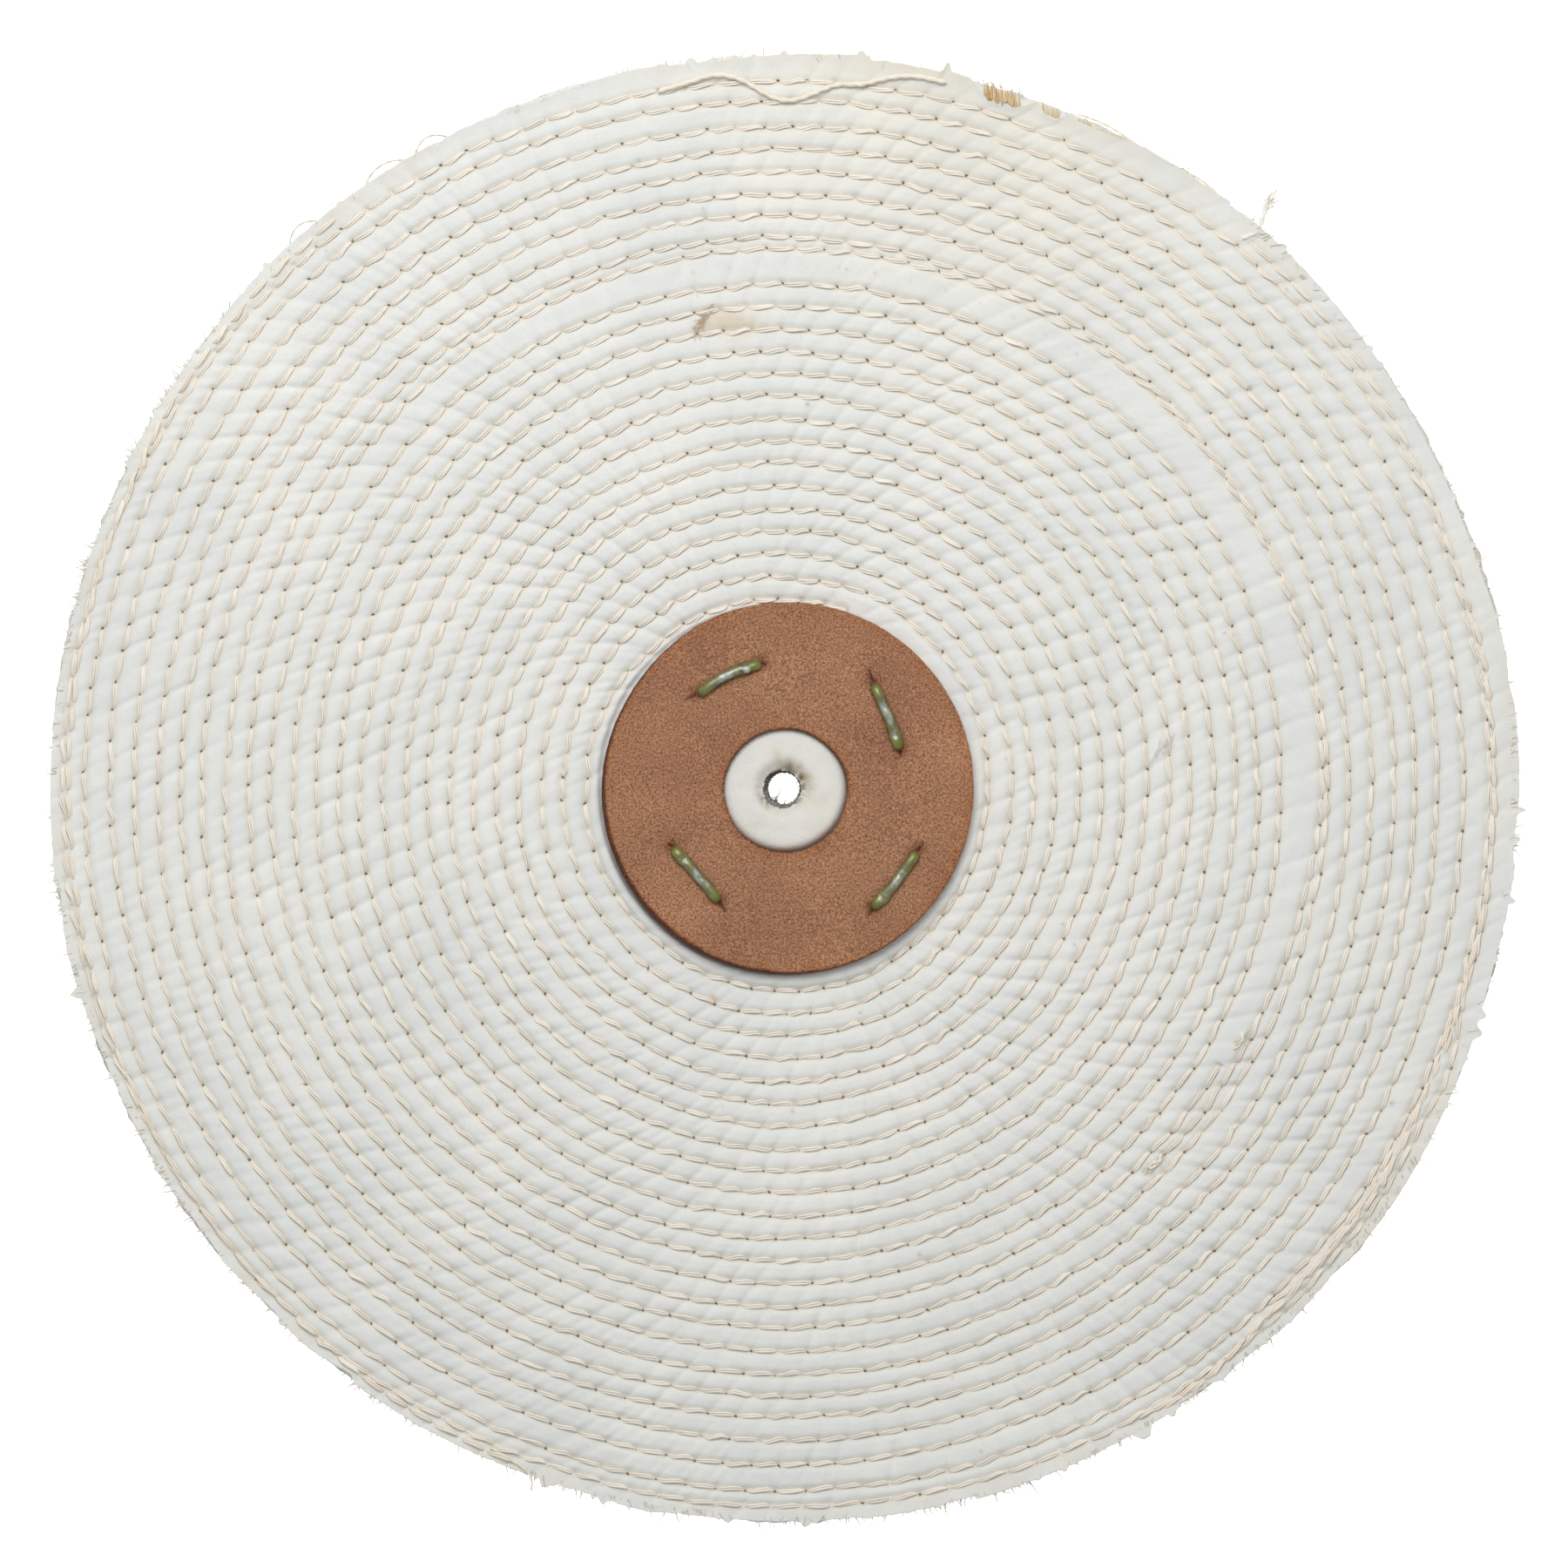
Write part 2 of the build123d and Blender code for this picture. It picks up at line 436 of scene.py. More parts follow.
def sew(rows, seed, drifts=False):
    """The needle holes along a line: how far it has turned, in degrees, and the radius, at each."""
    random = np.random.default_rng(seed)
    keys = np.array(rows, float)
    holes = []
    turned = keys[0, 0]
    while turned < keys[-1, 0]:
        radius = float(np.interp(turned, keys[:, 0], keys[:, 1]))
        if drifts:
            radius += row_drift(turned, radius)
        holes.append((turned, radius))
        length = np.interp(radius, STITCH_RADII, STITCH_LENGTHS) * random.normal(1.0, 0.045)
        turned += math.degrees(length / radius)
    turn, radius = np.array(holes).T
    angle = np.radians(turn)
    wander = 0.10 * np.sin(3.3 * angle + seed) + 0.07 * np.sin(7.9 * angle + 2 * seed)
    wander += random.normal(0, 0.09, len(turn))
    return {
        "turn": turn,
        "radius": (radius + wander) * MM,
        "pull": random.uniform(0.25, 1.0, len(turn)),
        "dark": random.uniform(0.0, 1.0, len(turn)),
        "tilt": random.normal(0.0, 0.35, len(turn)),
    }


SEWING = [sew(INNER_ROWS, SEED, drifts=True), sew(OUTER_ROWS, SEED + 1, drifts=True)]


def row_crossings(angle):
    """For each column of the cloth: the rows it crosses, innermost first, with their spiral and turns."""
    degrees = np.degrees(angle)
    radii = [np.full_like(angle, SEWN_EDGE)]
    spirals, turns = [-1], [0]
    for index, line in enumerate(SEWING):
        first, last = line["turn"][0], line["turn"][-1]
        for whole in range(int(first // 360), int(last // 360) + 1):
            total = degrees + 360 * whole
            radius = np.interp(total, line["turn"], line["radius"])
            radii.append(np.where((total < first) | (total > last), np.inf, radius))
            spirals.append(index)
            turns.append(whole)
    radii = np.array(radii)
    order = np.argsort(radii, axis=0)
    return (
        np.take_along_axis(radii, order, axis=0),
        np.array(spirals)[order],
        np.array(turns)[order],
    )


def nearest_hole(spiral, total, *values):
    """How far along the row the nearest needle hole is, and properties of that hole."""
    distance = np.full(total.shape, 1.0)
    found = [np.zeros(total.shape) for _ in values]
    for index, line in enumerate(SEWING):
        place = np.interp(total, line["turn"], np.arange(len(line["turn"])))
        hole = np.rint(place).astype(int)
        off = np.radians(total - line["turn"][hole]) * line["radius"][hole]
        distance = np.where(spiral == index, off, distance)
        found = [np.where(spiral == index, line[value][hole], old) for value, old in zip(values, found)]
    return distance, *found


def pucker_lean(angle):
    """How far a pucker runs along the row for each unit outwards: it follows the cloth's bias."""
    return -0.8 * np.sin(2 * (angle - math.radians(20)))


# ---------------------------------------------------------------- the cloth faces

FRONT_CHIPS = (  # the front ply's edge: degrees, half width in degrees, how far out in millimetres
    (72.4, 2.9, -2.4), (68.4, 1.4, -1.6), (64.6, 3.6, -0.8), (299.2, 0.9, 1.4), (358.3, 0.30, 1.0),
    (355.8, 0.45, 0.6), (97.3, 0.5, 0.7), (90.0, 0.3, 0.6), (84.0, 0.4, 0.7), (251.0, 0.5, 1.0),
    (342.0, 0.5, 0.8), (19.5, 0.3, 0.8), (143.5, 0.6, 0.5), (196.0, 0.4, 0.6), (77.2, 0.35, 1.0),
    (322.0, 22.0, 0.5), (340.6, 0.5, 1.0),
)


def edge_radius(angle, base, seed):
    """The cut edge of a ply: short straight snips with soft corners, and a frayed fine outline."""
    random = np.random.default_rng(seed)
    corners = np.sort(random.uniform(0, 2 * math.pi, 96))
    snips = np.interp(angle, corners, random.normal(0, 0.22 * MM, len(corners)), period=2 * math.pi)
    slow = wave_noise(angle, (2, 3, 5, 8), seed + 1, 0.22 * MM)
    quick = wave_noise(angle, (151, 211, 263, 331, 397), seed + 2, 0.06 * MM)
    return base + snips + slow + quick - 0.30 * MM


def chipped(angle, chips):
    """What the chips and nibs of an edge add to its radius."""
    degrees = np.degrees(angle) % 360
    total = np.zeros_like(angle)
    for place, half, outwards in chips:
        away = np.abs((degrees - place + 180) % 360 - 180)
        total += outwards * MM * np.clip(1.5 * (1 - away / half), 0, 1)
    return total


def random_nibs(seed, count):
    """Small torn nibs spread over the edge."""
    random = np.random.default_rng(seed)
    return [(random.uniform(0, 360), random.uniform(0.12, 0.45), random.uniform(0.15, 0.65))
            for _ in range(count)]


ROW_SPACING = 3.1 * MM  # between two turns of a spiral, where it runs freely
VALLEY_HALF = 0.20 * MM  # the flat bottom of the valley that holds the thread, on each side of a row
WALL_WIDTH = 0.95 * MM


def hole_marks(along, across, away, dark, crowded):
    """Round a needle hole: how open it is, the painted shade in and round it, the warm painted shade beside
    the thread, and how far it dips.
    """
    open_share = (0.55 + 0.65 * dark) * np.maximum(crowded, 0.7)
    oval = np.hypot(along / HOLE_LENGTH, across / HOLE_WIDTH) / open_share
    needle = np.clip(1 - oval / 3, 0, 1) * np.minimum(0.70 + 0.60 * dark, 1)
    # brown painted shade round each hole
    hole_shade = bell(along, 0.42 * MM) * bell(across, 0.30 * MM) * (0.12 + 0.32 * dark)
    # warm painted shade beside the thread and round each hole, where the cloth dips into the valley
    hole_halo_shade = 0.85 * bell(along, 1.00 * MM) * bell(away, 0.65 * MM)
    warm_shade = np.maximum(hole_halo_shade, 0.62 * bell(away, 0.70 * MM)) * crowded
    dip = 0.15 * MM * bell(along, 0.45 * MM) * bell(away, 0.38 * MM) * crowded
    return (needle, hole_shade, warm_shade), dip


def quilt(radius, angle, seed):
    """Height of the sewn cloth above its stitch level, and where shade is painted: in and round its needle
    holes, and warm beside its rows.
    """
    radii, spirals, turns = row_crossings(angle[0])
    below = (radii[:, None, :] < radius[None]).sum(axis=0)
    columns = np.broadcast_to(np.arange(radius.shape[1]), radius.shape)
    inner = np.clip(below - 1, 0, len(radii) - 1)
    outer = np.clip(below, 0, len(radii) - 1)
    row_in, row_out = radii[inner, columns], radii[outer, columns]
    sewn = (below > 0) & np.isfinite(row_out)
    rim = (below > 0) & ~np.isfinite(row_out)
    width = np.where(sewn, row_out - row_in, ROW_SPACING)
    share = np.clip((radius - row_in) / width, 0, 1)

    # the puff between two rows: flat-topped, with a valley for the thread on each side
    x, y = radius * np.cos(angle), radius * np.sin(angle)
    cloud = 1 + 0.22 * lattice_noise(x, y, 5 * MM, seed)
    clamped = spirals[inner, columns] < 0  # the first puff stands up against the leather
    rise = 0.35 * MM * np.clip(width / (2.6 * MM), np.where(clamped, 0.5, 0.12), 1.1) * cloud
    rise *= np.where(clamped, 2.4, 1.0)
    nearest = np.minimum(radius - row_in, np.where(sewn, row_out - radius, 1.0))
    steep = np.where(clamped & (radius - row_in < width / 2), 0.45, 1.0)
    wall = np.clip((nearest - VALLEY_HALF) / (WALL_WIDTH * steep), 0, 1)
    wall = np.sin(wall * math.pi / 2)
    height = np.where(sewn, rise * wall * (0.86 + 0.14 * np.sin(math.pi * share)), 0.0)
    height += np.where(sewn, 0.14 * MM * np.clip(1 - width / (1.7 * MM), 0, 1), 0)
    lumps = lattice_noise(x, y, 1.9 * MM, seed + 6)
    height += np.where(sewn | rim, 0.07 * MM * lumps * wall, 0)

    # puckers that run out from each needle hole, and the pull of the thread at the row
    lean = pucker_lean(angle)
    degrees = np.degrees(angle)
    crowded = np.clip(width / (1.6 * MM), 0.25, 1)
    marks = [np.zeros(radius.shape) for _ in range(3)]
    for row, side in ((inner, 1), (outer, -1)):
        spiral, whole = spirals[row, columns], turns[row, columns]
        live = np.isfinite(radii[row, columns]) & (spiral >= 0)
        row_radius = np.where(live, radii[row, columns], radius)
        away = np.abs(radius - row_radius)
        shift = np.degrees(side * lean * away / np.maximum(radius, MM))
        along, pull = nearest_hole(spiral, degrees + 360 * whole - shift, "pull")
        crease = bell(along, 0.60 * MM) * np.exp(-away / (2.0 * MM)) * pull
        crease *= away / (away + 0.25 * MM)
        height -= np.where(live, 0.46 * MM * crease, 0)
        along, dark, tilt = nearest_hole(spiral, degrees + 360 * whole, "dark", "tilt")
        across = radius - row_radius - HOLE_OUTWARD - tilt * along
        # the painted shade of the needle holes and the warm painted shade beside the row
        found, dip = hole_marks(along, across, away, dark, crowded)
        marks = [np.maximum(mark, np.where(live, new, 0)) for mark, new in zip(marks, found)]
        height -= np.where(live, dip, 0)

    # the free margin outside the last row rises towards the rim
    reach = np.where(rim, radius - row_in, 0)
    margin = wall * 0.16 * MM + 0.10 * MM * (reach / (2.0 * MM)) ** 2
    height += np.where(rim, margin, 0)
    return height, marks, sewn | rim


def centre_height(radius, angle):
    """The smooth cloth inside the leather's hole: a low dome that turns down into the spindle hole."""
    inside = np.clip(1 - (radius / LEATHER_HOLE) ** 2, 0, 1)
    dome = 2.00 * MM * np.clip(1 - (radius / (LEATHER_HOLE + 0.4 * MM)) ** 22, 0, 1) + 0.25 * MM * inside
    lip = 1.0 * MM * bell(radius - BORE_RADIUS, 0.9 * MM)
    x, y = radius * np.cos(angle), radius * np.sin(angle)
    ripple = 0.15 * lattice_noise(x, y, 2.6 * MM, SEED + 5) + 0.07 * lattice_noise(x, y, 1.2 * MM, SEED + 14)
    return dome - lip + ripple * MM * inside


def centred_spot(x, y, place, size, lengthen=1.0, turn=0.0):
    """A soft oval spot, 1 at its centre; place and size are millimetres, turn is degrees."""
    dx, dy = x / MM - place[0], y / MM - place[1]
    cosine, sine = math.cos(math.radians(turn)), math.sin(math.radians(turn))
    along, across = (dx * cosine + dy * sine) / lengthen, dy * cosine - dx * sine
    return np.exp(-(along ** 2 + across ** 2) / size ** 2)


def paint(tint, amount, colour):
    """Multiplies a tint by a colour, as much as the amount at each point says."""
    tint *= 1 - np.clip(amount, 0, 1)[..., None] * (1 - np.array(colour))


BORE_STAINS = (  # place, size, lengthening, turn in degrees, strength, colour
    ((2.0, 2.1), 0.95, 1.7, -38, 1.2, (0.50, 0.41, 0.24)),
    ((0.7, 2.5), 0.50, 1.8, -20, 1.1, (0.30, 0.24, 0.16)),
    ((0.2, 3.4), 0.9, 1.6, 0, 0.5, (0.60, 0.50, 0.32)),
    ((4.0, 0.4), 0.8, 1.5, 60, 0.7, (0.90, 0.82, 0.68)),
    ((5.0, -2.0), 1.3, 1.3, 0, 0.6, (0.90, 0.82, 0.68)),
    ((-1.0, 4.9), 0.9, 1.0, 0, 0.8, (0.90, 0.82, 0.68)),
    ((-3.4, -5.0), 1.7, 1.4, 10, 0.4, (0.90, 0.82, 0.68)),
    ((4.2, -5.6), 1.5, 1.2, 50, 0.4, (0.90, 0.82, 0.68)),
)
OLD_HOLES_RADIUS = 72.3  # needle marks left in the plain band between the spirals, in millimetres
SPECKS = 46


def cloth_tint(x, y, radius, hole_shade, row_shade, front):
    """The colours painted on the cloth: brown painted shade round the needle holes and warm painted shade
    beside the rows, the soiled bore, stains and specks.
    """
    tint = np.ones(radius.shape + (3,))
    # warm painted shade beside the rows
    paint(tint, row_shade, (0.95, 0.90, 0.80))
    paint(tint, np.where(radius < SEWN_EDGE, 1.0, 0.0), (0.975, 0.950, 0.912))
    # brown painted shade round the needle holes
    paint(tint, hole_shade, (0.46, 0.38, 0.30))
    frayed = np.clip((radius - 98.6 * MM) / (2.2 * MM), 0, 1)
    cloudy = 0.35 + 0.6 * lattice_noise(x, y, 4 * MM, SEED + 12)
    paint(tint, frayed * cloudy, (0.985, 0.95, 0.88))
    patchy = 0.62 + 0.55 * lattice_noise(x, y, 0.8 * MM, SEED + 9)
    ragged = np.clip(0.55 + 0.9 * lattice_noise(x, y, 0.45 * MM, SEED + 13), 0, 1)
    paint(tint, bell(radius - BORE_RADIUS * 0.86, 0.30 * MM) * ragged, (0.20, 0.17, 0.13))
    paint(tint, bell(radius - BORE_RADIUS, 1.0 * MM) * 0.25, (0.66, 0.58, 0.44))
    if not front:
        return tint
    for place, size, lengthen, turn, strength, colour in BORE_STAINS:
        paint(tint, centred_spot(x, y, place, size, lengthen, turn) * patchy * strength, colour)
    paint(tint, centred_spot(x, y, (-2.4, -1.5), 0.75, 1.6, 125) * ragged, (0.32, 0.26, 0.19))
    paint(tint, centred_spot(x, y, (-7.2, 64.4), 1.6, 2.2, -6) * (0.9 + 0.5 * patchy), (0.90, 0.80, 0.68))
    paint(tint, centred_spot(x, y, (-10.9, 64.6), 0.7, 2.4, 62) * (0.3 + 0.6 * patchy), (0.86, 0.72, 0.56))
    paint(tint, centred_spot(x, y, (-9.8, -28.8), 0.45), (0.95, 0.72, 0.50))
    paint(tint, centred_spot(x, y, (34.0, 1.8), 0.45, 2.0, 80) * 0.8, (0.93, 0.84, 0.66))
    paint(tint, centred_spot(x, y, (30.0, 102.0), 34.0) * 0.75, (0.97, 0.93, 0.85))
    for turn in np.radians(range(52, 104, 4)):
        place = (OLD_HOLES_RADIUS * math.cos(turn), OLD_HOLES_RADIUS * math.sin(turn))
        paint(tint, centred_spot(x, y, place, 0.24) * 0.5 * patchy, (0.60, 0.54, 0.46))
    random = np.random.default_rng(SEED + 11)
    for _ in range(SPECKS):
        reach, turn = math.sqrt(random.uniform(0.07, 0.97)) * 100, random.uniform(0, 2 * math.pi)
        place = (reach * math.cos(turn), reach * math.sin(turn))
        speck = centred_spot(x, y, place, random.uniform(0.16, 0.34))
        paint(tint, speck * random.uniform(0.3, 0.8), (0.50, 0.46, 0.40))
    return tint


def face_rings(step):
    """Nominal ring radii from the bore to the rim: fine where the cloth shows, coarse under the leather."""
    centre = np.linspace(BORE_RADIUS, LEATHER_HOLE + 0.4 * MM, 22)
    hidden = np.linspace(LEATHER_HOLE + 3 * MM, SEWN_EDGE - MM, 5)
    shown = np.arange(SEWN_EDGE, WHEEL_RADIUS, step)
    return np.concatenate([centre, hidden, shown, [WHEEL_RADIUS]])


def snap_to_holes(radius, angle):
    """Moves the grid point nearest each needle hole onto it, so that every hole keeps its own centre of
    painted shade.
    """
    rings = radius[:, 0].copy()
    columns = radius.shape[1]
    for line in SEWING:
        target_radius = line["radius"] + HOLE_OUTWARD
        target_angle = np.radians(line["turn"]) % (2 * math.pi)
        after = np.clip(np.searchsorted(rings, target_radius), 1, len(rings) - 2)
        ring = np.where(target_radius - rings[after - 1] < rings[after] - target_radius, after - 1, after)
        column = np.rint(target_angle / (2 * math.pi) * columns).astype(int)
        radius[ring, column % columns] = target_radius
        wrapped = np.where(column == columns, target_angle - 2 * math.pi, target_angle)
        angle[ring, column % columns] = wrapped


def cloth_face(name, node, columns, step, front, seed, material):
    """The front or back ply: one quilted sheet from the bore to the ragged rim, with a turned-down edge."""
    rings = face_rings(step)
    around = whole_turn(columns)
    radius = np.repeat(rings[:, None], columns, axis=1)
    angle = np.repeat(around[None], len(rings), axis=0)
    snap_to_holes(radius, angle)
    height, painted, stitched = quilt(radius, angle, seed)
    height = np.where(stitched, height, centre_height(radius, angle))

    # the ragged rim and the ragged bore take up the last few rings
    radii = row_crossings(around)[0]
    last_row = np.where(np.isfinite(radii), radii, 0).max(axis=0)
    rim_start = last_row + 0.40 * MM
    chips = random_nibs(seed + 8, 60) + (list(FRONT_CHIPS) if front else [])
    edge = np.maximum(edge_radius(around, WHEEL_RADIUS, seed) + chipped(around, chips), rim_start + 0.35 * MM)
    stretch = (edge - rim_start) / (WHEEL_RADIUS - rim_start)
    radius = np.where(radius > rim_start, rim_start + (radius - rim_start) * stretch, radius)
    bore_start = BORE_RADIUS + 1.6 * MM
    hem = BORE_RADIUS - 0.38 * MM + 0.30 * MM * np.cos(around - math.radians(205))
    hem += wave_noise(around, (3, 5, 9, 14, 23, 41, 67), seed + 3, 0.13 * MM)
    squeeze = (bore_start - hem) / (bore_start - BORE_RADIUS)
    radius = np.where(radius < bore_start, bore_start - (bore_start - radius) * squeeze, radius)
    flutter = wave_noise(around, (7, 12, 19, 31, 47), seed + 4, 0.12 * MM)
    height += flutter * np.clip((radius - 99 * MM) / (2 * MM), 0, 1)

    # the cut edge has the cloth's thickness
    thick = PLY_THICKNESS * 0.8
    lip = np.stack([radius[-1] + 0.03 * MM, radius[-1] - 0.02 * MM, radius[-1] - 0.5 * MM])
    lip_height = np.stack([height[-1] - 0.4 * thick, height[-1] - thick, height[-1] - thick])
    radius = np.concatenate([radius, lip])
    angle = np.concatenate([angle, np.repeat(around[None], 3, axis=0)])
    height = np.concatenate([height, lip_height])
    needle, hole_shade, row_shade = (np.concatenate([share, np.zeros((3, columns))]) for share in painted)

    z = FACE_Z + height if front else -(FACE_Z + height)
    points = polar(radius, angle, z)
    quads = ring_faces(len(radius), columns, flip=not front)
    piece = make_piece(name, points, quads, material)
    add_tint(piece, cloth_tint(points[..., 0], points[..., 1], radius, hole_shade, row_shade, front))
    # the needle value marks where the holes are painted dark: painted shade
    add_value(piece, "needle", needle)
    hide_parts(node)


def inner_ply(index, material):
    """One of the plies between: a thin disc that only shows at its ragged rim and at the bore."""
    node = PLIES[index]
    low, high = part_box(node)
    columns = 540
    around = whole_turn(columns)
    seed = SEED + 100 + index
    random = np.random.default_rng(seed)
    edge = edge_radius(around, high.x, seed) + random.normal(0, 0.10 * MM, columns)
    hem = BORE_RADIUS - 0.64 * MM + wave_noise(around, (2, 5, 9, 17, 29, 53), seed + 2, 0.14 * MM)
    hem += random.normal(0, 0.07 * MM, columns)
    shares = np.array([0.0, 0.03, 0.3, 0.93, 0.965, 0.985, 1.0])
    radius = hem + (edge - hem) * shares[:, None]
    middle = (low.z + high.z) / 2
    spread = 1 + 0.05 * np.clip((radius - 95 * MM) / (6 * MM), 0, 1)
    loose = np.clip((radius - 98 * MM) / (3 * MM), 0, 1)
    ripple = wave_noise(around, (5, 9, 16, 27, 44), seed + 3, 0.09 * MM) * loose
    lift = wave_noise(around, (3, 6, 11), seed + 5, 0.12 * MM) * np.exp(-(radius - hem) / (2 * MM))
    z = middle * spread + ripple + lift
    half = 0.36 * PLY_THICKNESS
    top, bottom = polar(radius, around, z + half), polar(radius, around, z - half)
    points = np.concatenate([top, bottom[::-1]])
    quads = ring_faces(len(points), columns, joined=True)
    piece = make_piece(node.replace("cloth", "sewn"), points, quads, material)
    reach = np.concatenate([radius, radius[::-1]])
    tint = np.ones(reach.shape + (3,))
    paint(tint, bell(reach - BORE_RADIUS + 0.3 * MM, 0.8 * MM), (0.17, 0.145, 0.115))
    yellow = (0.5 + 0.5 * math.sin(index * 2.1)) * 0.5
    tint *= 1 - yellow * np.array((0.02, 0.05, 0.14))
    add_tint(piece, tint)
    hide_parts(node)


# ---------------------------------------------------------------- stitches

STITCH_RINGS = np.array([0.0, 0.05, 0.13, 0.27, 0.5, 0.73, 0.87, 0.95, 1.0])
STRAND_RADIUS = 0.180 * MM
STRAND_OFFSET = 0.160 * MM


def stitches(name, nodes, line, front, material, sides, seed, raised=0.0, tone=(1.0, 1.0, 1.0)):
    """Doubled thread from needle hole to needle hole, its two strands side by side, dipping at both ends."""
    random = np.random.default_rng(seed)
    angle = np.radians(line["turn"])
    holes = polar(line["radius"], angle, 0.0)
    start, end = holes[:-1], holes[1:]
    count = len(start)
    tangent = end - start
    tangent /= np.linalg.norm(tangent, axis=1, keepdims=True)
    outward = np.stack([tangent[:, 1], -tangent[:, 0], np.zeros(count)], axis=-1)
    u = np.broadcast_to(STITCH_RINGS, (count, len(STITCH_RINGS)))
    bow = random.normal(0.09, 0.06, (count, 1)) * np.sin(math.pi * u)
    sway = random.normal(0.08, 0.08, (count, 1)) * np.sin(2 * math.pi * u)
    aside = (0.06 - 0.10 * u - bow + sway) * MM
    arch = 1 - np.abs(2 * u - 1) ** 3.4
    level = random.normal(0.0, 0.04, (count, 1))
    lift = (-0.30 + (0.56 + level) * arch) * MM + raised
    centres = start[:, None] + (end - start)[:, None] * (0.035 + 0.93 * u[..., None])
    centres = centres + outward[:, None] * aside[..., None]
    side = 1 if front else -1
    centres[..., 2] = side * (FACE_Z + lift)
    across = np.broadcast_to(outward[:, None], centres.shape)
    up = np.zeros(centres.shape)
    up[..., 2] = side
    lay = random.normal(0.0, 0.30, (count, 1)) + random.normal(1.1, 0.3, (count, 1)) * (u - 0.5)
    apart = STRAND_OFFSET * (1 - 0.70 * (2 * u - 1) ** 4)
    offset = (across * np.cos(lay)[..., None] + up * np.sin(lay)[..., None]) * apart[..., None]
    swell = (0.66 + 0.34 * np.sin(math.pi * u)) * random.normal(1.0, 0.07, (count, 1))
    width = np.concatenate([STRAND_RADIUS * swell] * 2)
    points, quads = tubes(np.concatenate([centres + offset, centres - offset]), np.concatenate([across] * 2),
                          np.concatenate([up] * 2), width, width, sides)
    piece = make_piece(name, points, quads if front else quads[:, ::-1], material)
    # each stitch's ends, where it dips into a hole, are painted darker and warmer: painted shade
    stitch_end_shade = (2 * u[..., None] - 1) ** 8 * np.array((0.14, 0.20, 0.27))
    shade = random.uniform(0.93, 1.0, (count, 1, 1)) * (1 - stitch_end_shade) * np.array(tone)
    shade = np.concatenate([shade] * 2)
    tint = np.broadcast_to(shade[:, :, None], (2 * count, len(STITCH_RINGS), sides, 3))
    add_tint(piece, tint)
    if nodes:
        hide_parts(*nodes)


OVERSEWN = (  # extra passes of the needle near the rim: degrees turned, radius
    ((-61, 99.7), (-57, 100.6), (-54, 100.1), (-50, 99.3), (-47, 98.7), (-41, 98.4), (-36, 98.7), (-33, 98.5),
     (-28, 97.9), (-20, 97.6), (-8, 98.2), (8, 98.2), (15, 98.0)),
    ((-62, 99.2), (-56, 100.2), (-52, 99.5), (-47, 98.3), (-40, 98.9), (-34, 98.9), (-29, 98.3), (-22, 98.1),
     (-12, 97.9)),
    ((-50, 98.9), (-44, 98.9), (-38, 98.2), (-31, 98.9), (-26, 98.0)),
    ((-47, 97.9), (-41, 99.1), (-35, 98.2), (-30, 97.6)),
    ((128, 99.9), (145, 100.0), (160, 99.3), (175, 98.9), (195, 98.8), (212, 99.2), (225, 99.0), (238, 99.9),
     (249, 100.3)),
)


def over_sewing(material):
    """The extra stitches where the last rows were locked, at the lower right and on the left."""
    for index, rows in enumerate(OVERSEWN):
        stitches(f"oversewn_stitches_{index + 1}", (), sew(rows, SEED + 500 + index), True, material, 6,
                 SEED + 520 + index, raised=(0.10 + 0.05 * index) * MM, tone=(1.0, 0.985, 0.95))


# ---------------------------------------------------------------- leather washers

STAPLE_LINES = {  # the crown's outer ends from left to right and its bow, in millimetres; its dented end
    "staple_top_left": ((-11.9, 13.0), (-3.1, 17.3), 0.60, 1),
    "staple_top_right": ((12.4, 14.4), (16.0, 5.3), 0.18, 1),
    "staple_bottom_left": ((-15.4, -8.2), (-8.9, -15.6), 0.12, -1),
    "staple_bottom_right": ((12.2, -16.6), (18.4, -8.8), -0.22, -1),
}
SLITS = (  # where the leather has split beyond a staple's end: from, to, in millimetres
    ((-12.2, 12.8), (-13.6, 12.2)),
    ((12.3, 14.6), (11.7, 16.4)),
    ((-8.8, -15.8), (-8.1, -17.0)),
    ((18.4, -8.6), (19.3, -7.5)),
    ((12.1, -16.9), (11.6, -17.6)),
    ((16.0, 5.1), (16.2, 4.4)),
    ((-15.5, -8.0), (-15.9, -7.6)),
    ((-3.0, 17.2), (-2.4, 17.0)),
)
SMUDGES = (  # handled, darker areas of the leather: place and size in millimetres, strength
    ((-8.5, 19.8), 3.2, 0.55),
    ((-13.5, 15.0), 2.6, 0.35),
    ((2.5, 13.5), 4.0, 0.22),
    ((10.5, -18.0), 3.0, 0.40),
    ((20.5, -10.0), 2.6, 0.30),
    ((-17.0, -6.5), 2.6, 0.30),
    ((12.0, 17.0), 2.4, 0.25),
    ((-4.0, -18.5), 4.5, 0.20),
)
HOLE_SHIFT = (0.20 * MM, -0.35 * MM)  # the washer's hole isn't quite in its middle
HOLE_BEVEL = 0.22 * MM
WORN_AND_SHADED_SIDE = 215  # degrees: the washers' rims and holes are most worn at the lower left, and the rims' painted shade is darkest there


def line_distance(x, y, start, end):
    """Distance in millimetres from each point to a segment, and how far along it the nearest point is."""
    sx, sy = start
    dx, dy = end[0] - sx, end[1] - sy
    px, py = x / MM - sx, y / MM - sy
    along = np.clip((px * dx + py * dy) / (dx * dx + dy * dy), 0, 1)
    return np.hypot(px - along * dx, py - along * dy), along


